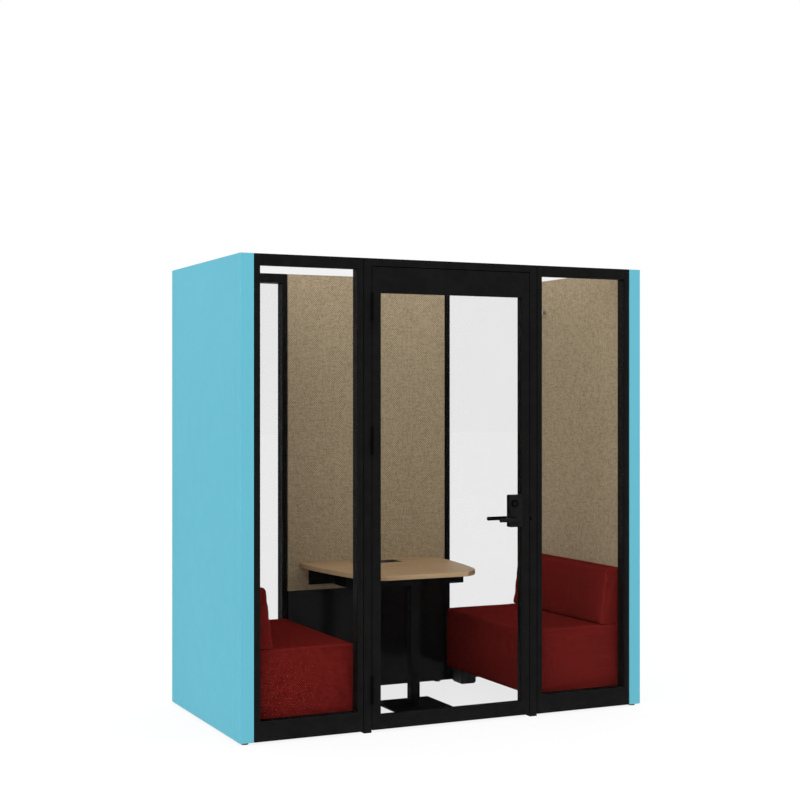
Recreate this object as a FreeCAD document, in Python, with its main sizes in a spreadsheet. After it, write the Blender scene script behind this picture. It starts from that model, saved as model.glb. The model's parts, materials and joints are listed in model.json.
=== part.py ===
import FreeCAD, Part
import os
from types import SimpleNamespace

import Sketcher

# Two-seat meeting pod: glazed front with a hinged door, solid side walls, a window either side of
# the rear panel, two upholstered benches and a table on a T-leg. Millimetres, +Z up, +Y to the rear.
# The origin is the middle of the footprint on the floor, with the lever outside the door included.

SIZES = {
    # Whole pod
    "pod_width": 2262,
    "pod_depth": 1123,
    "pod_height": 2340,
    "wall_thickness": 68,
    "floor_gap": 10,
    "joint_gap": 4,
    "joint_strip_setback": 8,
    "seam_gap": 1.5,
    "post_edge_round": 3,
    # Solid walls
    "skin_thickness": 10,
    "tile_thickness": 12,
    "tile_edge_round": 4,
    "rear_panel_width": 980,
    "gloss_tile_top": 578,
    "tile_gap": 2,
    # Levelling feet
    "foot_radius": 18,
    "foot_pad_height": 5,
    "foot_stem_radius": 8,
    "foot_inset": 34,
    # Windows
    "window_stile_width": 27,
    "front_top_rail": 53,
    "rear_top_rail": 50,
    "window_bottom_rail": 94,
    "glass_thickness": 6,
    "glass_setback": 5,
    "glass_bite": 10,
    "groove_spare": 2,
    "gasket_thickness": 1.5,
    "gasket_show": 2,
    # Doorway
    "door_post_width": 40,
    "header_height": 37,
    "door_stop_width": 14,
    "door_seal_thickness": 3,
    "door_seal_play": 0.3,
    # Door
    "door_width": 892,
    "door_gap": 4,
    "door_floor_gap": 12,
    "door_thickness": 45,
    "door_stile_width": 46,
    "door_top_rail": 127,
    "door_bottom_rail": 69,
    # Butt hinges
    "hinge_height": 138,
    "hinge_low_bottom": 142,
    "hinge_top_drop": 131,
    "hinge_pair_pitch": 660,
    "knuckle_radius": 6,
    "knuckle_stand": 7,
    "knuckle_play": 0.5,
    "hinge_pin_radius": 3,
    "hinge_pin_play": 0.05,
    "hinge_pin_head": 3,
    "leaf_thickness": 1.6,
    "leaf_width": 30,
    # Lock case either side of the door glass
    "lock_case_width": 74,
    "lock_case_height": 166,
    "lock_case_depth": 15,
    "lock_case_round": 5,
    "lock_case_bottom": 986,
    "spindle_inset": 48,
    "spindle_rise": 41,
    "key_rise": 122,
    "glass_hole_spare": 4,
    # Levers
    "lever_length": 113,
    "lever_radius": 10,
    "lever_standoff": 50,
    "lever_tip_chamfer": 3,
    "lever_collar_radius": 14,
    "lever_collar_height": 8,
    "lever_play": 0.5,
    "spindle_radius": 4,
    "bore_play": 0.3,
    # Latch, deadbolt and strike
    "bolt_thickness": 9,
    "bolt_setback": 2.5,
    "bolt_play": 0.4,
    "latch_height": 18,
    "latch_length": 84,
    "latch_reach": 10,
    "latch_throw": 10,
    "latch_nose": 7,
    "deadbolt_height": 22,
    "deadbolt_length": 69,
    "deadbolt_setback": 1,
    "deadbolt_throw": 18,
    "pocket_spare": 3,
    "strike_plate_thickness": 1.5,
    "strike_plate_setback": 4,
    "strike_plate_width": 30,
    "strike_plate_margin": 24,
    # Key cylinder outside and thumb turn inside
    "key_ring_radius": 18.5,
    "key_ring_proud": 6,
    "key_plug_radius": 9,
    "key_slot_width": 2.5,
    "key_slot_height": 9,
    "key_slot_depth": 4,
    "thumb_rose_radius": 16,
    "thumb_rose_height": 5,
    "thumb_grip_length": 30,
    "thumb_grip_width": 8,
    "thumb_grip_height": 14,
    # Table
    "table_rear_width": 842,
    "table_shoulder_width": 704,
    "table_front_width": 474,
    "table_depth": 769,
    "table_straight": 40,
    "table_side_bow": 28,
    "table_corner_depth": 165,
    "table_corner_bow": 33,
    "table_top_height": 732,
    "table_thickness": 25,
    "table_edge_chamfer": 2,
    "table_wall_gap": 1.5,
    "leg_from_rear_edge": 594,
    "leg_tube": 50,
    "leg_tube_wall": 3,
    "cross_arm_length": 574,
    "cross_arm_height": 51,
    "base_plate_width": 325,
    "base_plate_thickness": 10,
    "base_plate_round": 6,
    "glide_height": 10,
    "glide_radius": 14,
    "glide_inset": 30,
    "wall_rail_length": 728,
    "wall_rail_height": 98,
    "wall_rail_ledge": 45,
    "wall_rail_metal": 4,
    "tray_width": 454,
    "tray_depth": 176,
    "tray_height": 98,
    "tray_metal": 2,
    # Power module in the table top
    "module_length": 268,
    "module_width": 126,
    "module_from_rear_edge": 112,
    "module_rim_height": 4,
    "module_rim_width": 14,
    "module_rim_round": 4,
    "module_ledge": 6,
    "module_wall": 3,
    "module_drop": 70,
    "module_spare": 1,
    "lid_play": 0.4,
    "lid_pin_radius": 1,
    "lid_pin_length": 5,
    "lid_pin_play": 0.05,
    "lid_notch_radius": 9,
    "socket_plate_thickness": 4,
    "socket_plate_lift": 30,
    "socket_opening": 34,
    "socket_pitch": 52,
    "socket_depth": 2,
    # Benches
    "bench_front_from_middle": 485,
    "bench_wall_gap": 0.3,
    "bench_end_gap": 14,
    "bench_foot_height": 92,
    "bench_foot_width": 100,
    "bench_foot_inset": 47,
    "bench_foot_chamfer": 10,
    "seat_height": 432,
    "seat_crown": 6,
    "seat_bulge": 4,
    "bench_edge_round": 14,
    "back_foot_thickness": 130,
    "back_top_thickness": 92,
    "back_top": 740,
    "back_bulge": 5,
    # Peg on the right wall
    "peg_from_rear_wall": 176,
    "peg_from_top": 184,
    "peg_head_radius": 14,
    "peg_head_thickness": 8,
    "peg_neck_radius": 7,
    "peg_length": 26,
}

# Distance of a rounded corner's middle from the square corner, as a share of the radius
ROUND_SHARE = 1 - 0.5 ** 0.5
# How much of the swell in the middle of a cushion is left at its two ends
END_SWELL_SHARE = 0.35
# How far the crown of a seat sits forward between its front edge and the foot of its back
CROWN_PLACE_SHARE = 0.5
# Rounding of the thumb turn's grip, as a share of half its width
GRIP_ROUND_SHARE = 0.9


class Size:
    """A length known both as a number and as an expression on the sheet."""

    def __init__(self, value, text):
        self.value = value
        self.text = text

    def __add__(self, other):
        return Size(self.value + other.value, f"({self.text} + {other.text})")

    def __sub__(self, other):
        return Size(self.value - other.value, f"({self.text} - {other.text})")

    def __mul__(self, factor):
        return Size(self.value * factor, f"({self.text} * ({factor}))")

    def __truediv__(self, divisor):
        return Size(self.value / divisor, f"({self.text} / {divisor})")

    def __neg__(self):
        return self * -1


class Bow:
    """The point that the arc between two corners of an outline passes through."""

    def __init__(self, x, y):
        self.x = x
        self.y = y


doc = FreeCAD.newDocument("office_pod")
sheet = doc.addObject("Spreadsheet::Sheet", "sizes")
for row, (alias, number) in enumerate(SIZES.items(), start=1):
    sheet.set(f"A{row}", alias)
    sheet.set(f"B{row}", str(number))
    sheet.setAlias(f"B{row}", alias)
doc.recompute()

S = SimpleNamespace(**{alias: Size(number, f"sizes.{alias}") for alias, number in SIZES.items()})
ZERO = Size(0, "0")
LEFT, RIGHT = -1, 1
TURN_TO = {
    "X": FreeCAD.Rotation(FreeCAD.Vector(0, 1, 0), 90),
    "-X": FreeCAD.Rotation(FreeCAD.Vector(0, 1, 0), -90),
    "Y": FreeCAD.Rotation(FreeCAD.Vector(1, 0, 0), -90),
    "-Y": FreeCAD.Rotation(FreeCAD.Vector(1, 0, 0), 90),
    "Z": FreeCAD.Rotation(),
}
nodes = []


# Drawing and solid helpers

def place(piece, x, y, z, along="Z"):
    """Sets a piece's place on the sheet's sizes, with its own Z turned to point along an axis."""
    piece.Placement = FreeCAD.Placement(FreeCAD.Vector(), TURN_TO[along])
    for axis, value in zip("xyz", (x, y, z)):
        piece.setExpression(f"Placement.Base.{axis}", value.text)
    return piece


def pin_point(sketch, edge, end, x, y):
    """Holds one end of an edge at x and y from the sketch's origin."""
    for kind, value in (("DistanceX", x), ("DistanceY", y)):
        index = sketch.addConstraint(Sketcher.Constraint(kind, -1, 1, edge, end, value.value))
        sketch.setExpression(f"Constraints[{index}]", value.text)


def path_edges(path, closed):
    """Gives each edge of a path as its first corner, its last corner and its bow, if any."""
    edges = []
    start, bow = path[0], None
    for item in path[1:] + path[:1] * closed:
        if isinstance(item, Bow):
            bow = item
            continue
        edges.append((start, item, bow))
        start, bow = item, None
    return edges


def point(x, y):
    return FreeCAD.Vector(x.value, y.value, 0)


def add_edge(sketch, start, stop, bow):
    """Draws a line or an arc, and says which of its ends, 1 or 2, is at start and which at stop."""
    first, last = point(*start), point(*stop)
    if bow is None:
        return sketch.addGeometry(Part.LineSegment(first, last), False), 1, 2
    through = point(bow.x, bow.y)
    if (through - first).cross(last - through).z > 0:
        return sketch.addGeometry(Part.Arc(first, through, last), False), 1, 2
    return sketch.addGeometry(Part.Arc(last, through, first), False), 2, 1


def draw_path(sketch, path, closed=True):
    """Draws lines and arcs through a path's corners, with every corner and bow tied to the sheet."""
    ends = []
    for start, stop, bow in path_edges(path, closed):
        edge, head, tail = add_edge(sketch, start, stop, bow)
        pin_point(sketch, edge, head, *start)
        ends.append((edge, head, tail))
        if bow is not None:
            mark = sketch.addGeometry(Part.Point(point(bow.x, bow.y)), True)
            pin_point(sketch, mark, 1, bow.x, bow.y)
            sketch.addConstraint(Sketcher.Constraint("PointOnObject", mark, 1, edge))
    for (edge, _, tail), (following, head, _) in zip(ends, ends[1:] + ends[:1] * closed):
        sketch.addConstraint(Sketcher.Constraint("Coincident", edge, tail, following, head))
    if not closed:
        pin_point(sketch, ends[-1][0], ends[-1][2], *path[-1])


def rectangle(x0, x1, y0, y1):
    return [(x0, y0), (x1, y0), (x1, y1), (x0, y1)]


def round_corner(x, y, into_x, into_y, radius, x_first):
    """The two ends and the bow of a rounded corner, in the order in which an outline meets them."""
    along_x = (x + radius * into_x, y)
    along_y = (x, y + radius * into_y)
    bow = Bow(x + radius * (into_x * ROUND_SHARE), y + radius * (into_y * ROUND_SHARE))
    return [along_x, bow, along_y] if x_first else [along_y, bow, along_x]


def rounded_rectangle(x0, x1, y0, y1, radius):
    return (
        round_corner(x1, y0, -1, 1, radius, True)
        + round_corner(x1, y1, -1, -1, radius, False)
        + round_corner(x0, y1, 1, -1, radius, True)
        + round_corner(x0, y0, 1, 1, radius, False)
    )


def new_sketch(body, plane, loops):
    sketch = body.newObject("Sketcher::SketchObject", body.Name + "_outline")
    support = [part for part in body.Origin.OriginFeatures if part.Role == plane]
    sketch.AttachmentSupport = [(support[0], "")]
    sketch.MapMode = "FlatFace"
    for loop in loops:
        draw_path(sketch, loop)
    return sketch


def bar(name, plane, loops, length, start):
    """An extrusion: loops drawn in a plane of the pod, padded along the plane's axis from start."""
    body = doc.addObject("PartDesign::Body", name)
    pad = body.newObject("PartDesign::Pad", name + "_pad")
    pad.Profile = new_sketch(body, plane, loops)
    pad.setExpression("Length", length.text)
    pad.Reversed = plane == "XZ_Plane"
    x = start if plane == "YZ_Plane" else ZERO
    y = start if plane == "XZ_Plane" else ZERO
    z = start if plane == "XY_Plane" else ZERO
    return place(body, x, y, z)


def turned(name, profile, x, y, z, along="Z"):
    """A turned piece: a profile of radius and height, spun about its own Z."""
    body = doc.addObject("PartDesign::Body", name)
    spin = body.newObject("PartDesign::Revolution", name + "_spin")
    spin.Profile = new_sketch(body, "XZ_Plane", [profile])
    spin.ReferenceAxis = (spin.Profile[0], ["V_Axis"])
    spin.Angle = 360
    return place(body, x, y, z, along)


def block(name, x0, x1, y0, y1, z0, z1):
    box = doc.addObject("Part::Box", name)
    box.setExpression("Length", (x1 - x0).text)
    box.setExpression("Width", (y1 - y0).text)
    box.setExpression("Height", (z1 - z0).text)
    return place(box, x0, y0, z0)


def cylinder(name, radius, length, x, y, z, along="Z"):
    rod = doc.addObject("Part::Cylinder", name)
    rod.setExpression("Radius", radius.text)
    rod.setExpression("Height", length.text)
    return place(rod, x, y, z, along)


def group(name, pieces):
    compound = doc.addObject("Part::Compound", name)
    compound.Links = pieces
    return compound


def fused(name, pieces):
    fusion = doc.addObject("Part::MultiFuse", name)
    fusion.Shapes = pieces
    return fusion


def cut(name, base, tools):
    result = doc.addObject("Part::Cut", name)
    result.Base = base
    result.Tool = tools[0] if len(tools) == 1 else group(name + "_tools", tools)
    return result


def node(label, *pieces):
    """Registers one sub-part, whose label names its file."""
    piece = pieces[0] if len(pieces) == 1 else group(label, list(pieces))
    piece.Label = label
    nodes.append(piece)


def sided(side, near, far):
    """The low and high X of a span that runs from near to far on one side of the middle."""
    return (near, far) if side == RIGHT else (-far, -near)


# Places that many pieces share

half_width = S.pod_width / 2
inner_x = half_width - S.wall_thickness
lever_reach = S.lock_case_depth - S.glass_setback + S.lever_standoff + S.lever_radius
front_y = (lever_reach - S.pod_depth) / 2
rear_y = (lever_reach + S.pod_depth) / 2
front_inner_y = front_y + S.wall_thickness
rear_inner_y = rear_y - S.wall_thickness
panel_height = S.pod_height - S.floor_gap

door_half = S.door_width / 2
doorway_half = door_half + S.door_gap
door_post_outer = doorway_half + S.door_post_width
header_bottom = S.pod_height - S.header_height
door_top = header_bottom - S.door_gap
door_back_y = front_y + S.door_thickness

rear_half = S.rear_panel_width / 2
groove_start = S.glass_setback - S.gasket_thickness
groove_stop = S.glass_setback + S.glass_thickness + S.gasket_thickness
groove_depth = S.glass_bite + S.groove_spare


# Walls

def corner_post(label, side, outer_y, into_y):
    inner = outer_y + S.wall_thickness * into_y
    outer = half_width * side
    outline = round_corner(outer, outer_y, -side, into_y, S.post_edge_round, True)
    outline += [(outer, inner), (inner_x * side, inner), (inner_x * side, outer_y)]
    node(label, bar(label, "XY_Plane", [outline], panel_height, S.floor_gap))


def side_wall(word, side):
    low_y = front_inner_y + S.seam_gap
    high_y = rear_inner_y - S.seam_gap
    skin_x = half_width - S.skin_thickness
    tile_x = inner_x + S.tile_thickness
    core_span = sided(side, tile_x, skin_x)
    skin_span = sided(side, skin_x, half_width)
    node(f"side_core_{word}", block(f"side_core_{word}", *core_span, front_inner_y, rear_inner_y,
                                    S.floor_gap, S.pod_height))
    node(f"side_skin_{word}", block(f"side_skin_{word}", *skin_span, low_y, high_y,
                                    S.floor_gap, S.pod_height))
    room, back = inner_x * side, tile_x * side
    outline = [(back, low_y), (back, high_y)]
    outline += round_corner(room, high_y, side, -1, S.tile_edge_round, True)
    outline += round_corner(room, low_y, side, 1, S.tile_edge_round, False)
    node(f"side_fabric_{word}", bar(f"side_fabric_{word}", "XY_Plane", [outline], panel_height, S.floor_gap))


def rear_tile(label, bottom, top):
    """A tile on the room side of the rear panel, with softened upright edges."""
    edge = rear_half - S.seam_gap
    back = rear_inner_y + S.tile_thickness
    outline = [(edge, back), (-edge, back)]
    outline += round_corner(-edge, rear_inner_y, 1, 1, S.tile_edge_round, False)
    outline += round_corner(edge, rear_inner_y, -1, 1, S.tile_edge_round, True)
    node(label, bar(label, "XY_Plane", [outline], top - bottom, bottom))


def rear_panel():
    core_low = rear_inner_y + S.tile_thickness
    core_high = rear_y - S.skin_thickness
    node("rear_core", block("rear_core", -rear_half, rear_half, core_low, core_high,
                            S.floor_gap, S.pod_height))
    node("rear_skin", block("rear_skin", -rear_half, rear_half, core_high, rear_y,
                            S.floor_gap, S.pod_height))
    rear_tile("rear_gloss_tile", S.floor_gap, S.gloss_tile_top)
    rear_tile("rear_fabric", S.gloss_tile_top + S.tile_gap, S.pod_height)


# Glazed frames: two stiles and two rails with a glazing groove, a pane and its gaskets

def groove_outline(edge, inward, width, face, into, depth):
    """The section of a stile or rail: a bar with a groove for the pane in its inner side."""
    inner = edge + width * inward
    floor = inner - groove_depth * inward
    return [
        (edge, face), (inner, face),
        (inner, face + groove_start * into), (floor, face + groove_start * into),
        (floor, face + groove_stop * into), (inner, face + groove_stop * into),
        (inner, face + depth * into), (edge, face + depth * into),
    ]


def swap(loop):
    return [(second, first) for first, second in loop]


def glazed_frame(name, span, height, face, into, depth, stile, top_rail, bottom_rail):
    """Makes the frame's bars, pane and gaskets; face is its outer plane and into points indoors."""
    (x0, x1), (z0, z1) = span, height
    open_x0, open_x1 = x0 + stile, x1 - stile
    open_z0, open_z1 = z0 + bottom_rail, z1 - top_rail
    left = groove_outline(x0, 1, stile, face, into, depth)
    right = groove_outline(x1, -1, stile, face, into, depth)
    low = swap(groove_outline(z0, 1, bottom_rail, face, into, depth))
    high = swap(groove_outline(z1, -1, top_rail, face, into, depth))
    stiles = [
        bar(f"{name}_stile_left", "XY_Plane", [left], z1 - z0, z0),
        bar(f"{name}_stile_right", "XY_Plane", [right], z1 - z0, z0),
    ]
    rails = [
        bar(f"{name}_rail_low", "YZ_Plane", [low], open_x1 - open_x0, open_x0),
        bar(f"{name}_rail_high", "YZ_Plane", [high], open_x1 - open_x0, open_x0),
    ]
    pane_faces = [face + S.glass_setback * into, face + (S.glass_setback + S.glass_thickness) * into]
    pane_low, pane_high = pane_faces if into == 1 else pane_faces[::-1]
    bite = S.glass_bite
    pane = block(f"{name}_pane", open_x0 - bite, open_x1 + bite, pane_low, pane_high,
                 open_z0 - bite, open_z1 + bite)
    show = S.gasket_show
    outer = rectangle(open_x0 - bite, open_x1 + bite, open_z0 - bite, open_z1 + bite)
    inner = rectangle(open_x0 + show, open_x1 - show, open_z0 + show, open_z1 - show)
    gaskets = [
        bar(f"{name}_gasket_low", "XZ_Plane", [outer, inner], S.gasket_thickness,
            pane_low - S.gasket_thickness),
        bar(f"{name}_gasket_high", "XZ_Plane", [outer, inner], S.gasket_thickness, pane_high),
    ]
    return stiles, rails, pane, gaskets


def windows():
    near = door_post_outer + S.joint_gap
    far = inner_x - S.joint_gap
    height = (S.floor_gap, S.pod_height)
    panes = {"front": [], "rear": []}
    gaskets = []
    for place_word, face, into, top_rail in (
        ("front", front_y, 1, S.front_top_rail),
        ("rear", rear_y, -1, S.rear_top_rail),
    ):
        for word, side in (("left", LEFT), ("right", RIGHT)):
            label = f"window_{place_word}_{word}_frame"
            stiles, rails, pane, strips = glazed_frame(
                f"window_{place_word}_{word}", sided(side, near, far), height, face, into,
                S.wall_thickness, S.window_stile_width, top_rail, S.window_bottom_rail)
            node(label, *stiles, *rails)
            panes[place_word].append(pane)
            gaskets += strips
    node("front_window_glass", *panes["front"])
    node("rear_window_glass", *panes["rear"])
    node("window_gaskets", *gaskets)


def joint_strips():
    """Dark strips set back in the joints between the frames, posts and panels."""
    setback = S.joint_strip_setback
    strips = []
    joints = ((inner_x - S.joint_gap, inner_x), (door_post_outer, door_post_outer + S.joint_gap))
    for word, low_y, high_y in (
        ("front", front_y + setback, front_inner_y - setback),
        ("rear", rear_inner_y + setback, rear_y - setback),
    ):
        for side in (LEFT, RIGHT):
            for near, far in joints:
                strips.append(block(f"strip_{word}", *sided(side, near, far), low_y, high_y,
                                    S.floor_gap, S.pod_height))
    node("joint_strips", *strips)


def levelling_feet():
    """A round pad and neck under each corner post and under each end of the rear panel."""
    profile = [
        (ZERO, ZERO), (S.foot_radius, ZERO), (S.foot_radius, S.foot_pad_height),
        (S.foot_stem_radius, S.foot_pad_height), (S.foot_stem_radius, S.floor_gap), (ZERO, S.floor_gap),
    ]
    corner_x = half_width - S.foot_inset
    spots = [(corner_x * side, front_y + S.foot_inset) for side in (LEFT, RIGHT)]
    spots += [(corner_x * side, rear_y - S.foot_inset) for side in (LEFT, RIGHT)]
    spots += [((rear_half - S.foot_inset) * side, rear_y - S.foot_inset) for side in (LEFT, RIGHT)]
    node("levelling_feet", *[turned("levelling_foot", profile, x, y, ZERO) for x, y in spots])


# Doorway and door

hinge_x = -(door_half + S.door_gap / 2)
hinge_y = front_y - S.knuckle_stand
hinge_top_bottom = door_top - S.hinge_top_drop - S.hinge_height
hinge_bottoms = (S.hinge_low_bottom, hinge_top_bottom - S.hinge_pair_pitch, hinge_top_bottom)
knuckle_height = S.hinge_height / 3

stile_inner = door_half - S.door_stile_width
case_x0 = stile_inner - S.lock_case_width
spindle_x = stile_inner - S.spindle_inset
spindle_z = S.lock_case_bottom + S.spindle_rise
key_z = S.lock_case_bottom + S.key_rise
pane_front = front_y + S.glass_setback
pane_back = pane_front + S.glass_thickness
case_front = pane_front - S.lock_case_depth
case_back = pane_back + S.lock_case_depth
bolt_y0 = pane_back + S.bolt_setback
bolt_y1 = bolt_y0 + S.bolt_thickness


def stop_place(edge, into_doorway):
    """Where the door stop that stands out from a post or the header ends, and where its face lies."""
    return edge + S.door_stop_width * into_doorway, door_back_y + S.door_seal_thickness


def door_post(side):
    outer, edge = door_post_outer * side, doorway_half * side
    lip, stop_y = stop_place(edge, -side)
    outline = [
        (outer, front_y), (edge, front_y), (edge, stop_y),
        (lip, stop_y), (lip, front_inner_y), (outer, front_inner_y),
    ]
    word = "hinge_side" if side == LEFT else "strike_side"
    return bar(f"door_post_{word}_bar", "XY_Plane", [outline], S.pod_height, ZERO)


def bolt_space(name, x0, x1, z, height, open_front=False):
    """The room that a bolt slides in, with play all round; open_front lets it swing out as well."""
    half = height / 2 + S.bolt_play
    low_y = front_y - S.pocket_spare if open_front else bolt_y0 - S.bolt_play
    return block(name, x0, x1, low_y, bolt_y1 + S.bolt_play, z - half, z + half)


def doorway():
    node("door_post_hinge_side", door_post(LEFT))
    latch_end = door_half + S.latch_reach + S.pocket_spare
    deadbolt_end = door_half + S.deadbolt_throw + S.pocket_spare
    plate_x0 = doorway_half - S.strike_plate_thickness

    def keeper_spaces(name):
        return [
            bolt_space(f"{name}_latch_notch", door_half, latch_end, spindle_z, S.latch_height, True),
            bolt_space(f"{name}_deadbolt_hole", door_half, deadbolt_end, key_z, S.deadbolt_height),
        ]

    node("door_post_strike_side", cut("strike_post", door_post(RIGHT), keeper_spaces("post")))
    plate_y0 = front_y + S.strike_plate_setback
    plate = block("strike_plate_blank", plate_x0, doorway_half, plate_y0, plate_y0 + S.strike_plate_width,
                  spindle_z - S.strike_plate_margin, key_z + S.strike_plate_margin)
    node("strike_plate", cut("strike_plate_cut", plate, keeper_spaces("plate")))

    lip, stop_y = stop_place(header_bottom, -1)
    header = [
        (front_y, S.pod_height), (front_y, header_bottom), (stop_y, header_bottom),
        (stop_y, lip), (front_inner_y, lip), (front_inner_y, S.pod_height),
    ]
    header_bar = bar("header_bar", "YZ_Plane", [header], doorway_half * 2, -doorway_half)
    post_stops = [
        block("header_end", *sided(side, doorway_half - S.door_stop_width, doorway_half), stop_y,
              front_inner_y, lip, S.pod_height)
        for side in (LEFT, RIGHT)
    ]
    node("door_header", cut("header_trimmed", header_bar, post_stops))

    seal_y0 = door_back_y + S.door_seal_play
    seals = [
        block("door_seal_side", *sided(side, doorway_half - S.door_stop_width, doorway_half), seal_y0,
              stop_y, S.door_floor_gap, header_bottom)
        for side in (LEFT, RIGHT)
    ]
    inner = doorway_half - S.door_stop_width
    seals.append(block("door_seal_top", -inner, inner, seal_y0, stop_y, lip, header_bottom))
    node("door_seals", *seals)


def door_leaf():
    stiles, rails, pane, gaskets = glazed_frame(
        "door", (-door_half, door_half), (S.door_floor_gap, door_top), front_y, 1, S.door_thickness,
        S.door_stile_width, S.door_top_rail, S.door_bottom_rail)
    tunnels = [
        bolt_space("latch_tunnel", stile_inner, door_half, spindle_z, S.latch_height),
        bolt_space("deadbolt_tunnel", stile_inner, door_half, key_z, S.deadbolt_height),
    ]
    node("door_stiles", stiles[0], cut("lock_stile", stiles[1], tunnels))
    node("door_rails", *rails)
    holes = [
        cylinder("glass_spindle_hole", S.spindle_radius + S.glass_hole_spare, S.lock_case_depth,
                 spindle_x, pane_front - S.glass_setback, spindle_z, "Y"),
        cylinder("glass_key_hole", S.key_plug_radius + S.glass_hole_spare, S.lock_case_depth,
                 spindle_x, pane_front - S.glass_setback, key_z, "Y"),
    ]
    node("door_glass", cut("door_pane_drilled", pane, holes))
    trimmed = []
    for gasket in gaskets:
        clear = block("case_place", case_x0, stile_inner, case_front, case_back, S.lock_case_bottom,
                      S.lock_case_bottom + S.lock_case_height)
        trimmed.append(cut("door_gasket", gasket, [clear]))
    node("door_gaskets", *trimmed)


def hinge_leaf(name, bottom, plate_x0, plate_x1, knuckle_spans):
    """A leaf in the door gap with its share of the knuckles in front, bored for the pin."""
    solids = [block(f"{name}_plate", plate_x0, plate_x1, front_y, front_y + S.leaf_width,
                    bottom, bottom + S.hinge_height)]
    for low, high in knuckle_spans:
        low_z, high_z = bottom + low, bottom + high
        solids.append(block(f"{name}_web", plate_x0, plate_x1, hinge_y, front_y, low_z, high_z))
        solids.append(cylinder(f"{name}_knuckle", S.knuckle_radius, high - low, hinge_x, hinge_y, low_z))
    bore = cylinder(f"{name}_bore", S.hinge_pin_radius + S.hinge_pin_play, S.hinge_height,
                    hinge_x, hinge_y, bottom)
    return cut(name, fused(f"{name}_solid", solids), [bore])


def hinges():
    play = S.knuckle_play
    frame_spans = [(ZERO, knuckle_height - play), (knuckle_height * 2 + play, S.hinge_height)]
    door_spans = [(knuckle_height, knuckle_height * 2)]
    frame_leaves, door_leaves, pins = [], [], []
    for bottom in hinge_bottoms:
        frame_leaves.append(hinge_leaf("frame_leaf", bottom, -doorway_half,
                                       S.leaf_thickness - doorway_half, frame_spans))
        door_leaves.append(hinge_leaf("door_leaf", bottom, -(door_half + S.leaf_thickness),
                                      -door_half, door_spans))
        head_z = bottom + S.hinge_height
        pins.append(turned("hinge_pin", [
            (ZERO, -S.hinge_height), (S.hinge_pin_radius, -S.hinge_height), (S.hinge_pin_radius, ZERO),
            (S.knuckle_radius, ZERO), (S.knuckle_radius, S.hinge_pin_head), (ZERO, S.hinge_pin_head),
        ], hinge_x, hinge_y, head_z))
    node("hinge_frame_leaves", *frame_leaves)
    node("hinge_door_leaves", *door_leaves)
    node("hinge_pins", *pins)


# Lock

def case_half(name, face_y, holes):
    """One half of the lock case: a rounded plate on the pane, drilled and slotted."""
    outline = rounded_rectangle(case_x0, stile_inner, S.lock_case_bottom,
                                S.lock_case_bottom + S.lock_case_height, S.lock_case_round)
    return cut(name, bar(f"{name}_plate", "XZ_Plane", [outline], S.lock_case_depth, face_y), holes)


def lock_case():
    def bores(name, face_y):
        return [
            cylinder(f"{name}_spindle_bore", S.spindle_radius + S.bore_play, S.lock_case_depth,
                     spindle_x, face_y, spindle_z, "Y"),
            cylinder(f"{name}_key_bore", S.key_plug_radius + S.bore_play, S.lock_case_depth,
                     spindle_x, face_y, key_z, "Y"),
        ]

    slots = [
        bolt_space("latch_slot", spindle_x, stile_inner, spindle_z, S.latch_height),
        bolt_space("deadbolt_slot", spindle_x, stile_inner, key_z, S.deadbolt_height),
    ]
    outside = case_half("lock_case_outside", case_front, bores("outside", case_front))
    inside = case_half("lock_case_inside", pane_back, bores("inside", pane_back) + slots)
    node("lock_case", outside, inside)


def lever(label, case_face, outward):
    """A round bar out of the case, with a collar, a mitred corner and a straight grip to the hinge side."""
    seat = case_face + S.lever_play * outward
    grip_y = case_face + S.lever_standoff * outward
    grip_end = spindle_x - S.lever_length + S.lever_tip_chamfer
    path = doc.addObject("Sketcher::SketchObject", f"{label}_path")
    draw_path(path, [(spindle_x, seat), (spindle_x, grip_y), (grip_end, grip_y)], closed=False)
    place(path, ZERO, ZERO, spindle_z)
    ring = doc.addObject("Part::Circle", f"{label}_section")
    ring.setExpression("Radius", S.lever_radius.text)
    place(ring, spindle_x, seat, spindle_z, "Y")
    sweep = doc.addObject("Part::Sweep", f"{label}_sweep")
    sweep.Sections = [ring]
    sweep.Spine = (path, ["Edge1", "Edge2"])
    sweep.Transition = "Right corner"
    sweep.Solid = True
    tip_profile = [
        (ZERO, ZERO), (S.lever_radius, ZERO), (S.lever_radius - S.lever_tip_chamfer, S.lever_tip_chamfer),
        (ZERO, S.lever_tip_chamfer),
    ]
    tip = turned(f"{label}_tip", tip_profile, grip_end, grip_y, spindle_z, "-X")
    collar = cylinder(f"{label}_collar", S.lever_collar_radius, S.lever_collar_height, spindle_x, seat,
                      spindle_z, "Y" if outward == 1 else "-Y")
    node(label, fused(f"{label}_solid", [sweep, tip, collar]))


def lock_motion():
    lever("lever_outside", case_front, -1)
    lever("lever_inside", case_back, 1)
    spindle_start = case_front - S.lever_play
    spindle_length = case_back - case_front + S.lever_play * 2
    node("lever_spindle", cylinder("spindle_rod", S.spindle_radius, spindle_length, spindle_x,
                                   spindle_start, spindle_z, "Y"))
    latch_end = door_half + S.latch_reach
    latch_start = latch_end - S.latch_length
    nose = [
        (latch_start, bolt_y0), (latch_end - S.latch_nose, bolt_y0), (latch_end, bolt_y1 - S.bolt_setback),
        (latch_end, bolt_y1), (latch_start, bolt_y1),
    ]
    node("latch_bolt", bar("latch_bar", "XY_Plane", [nose], S.latch_height, spindle_z - S.latch_height / 2))
    bolt_end = door_half - S.deadbolt_setback
    node("deadbolt", block("deadbolt_bar", bolt_end - S.deadbolt_length, bolt_end, bolt_y0, bolt_y1,
                           key_z - S.deadbolt_height / 2, key_z + S.deadbolt_height / 2))


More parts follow.
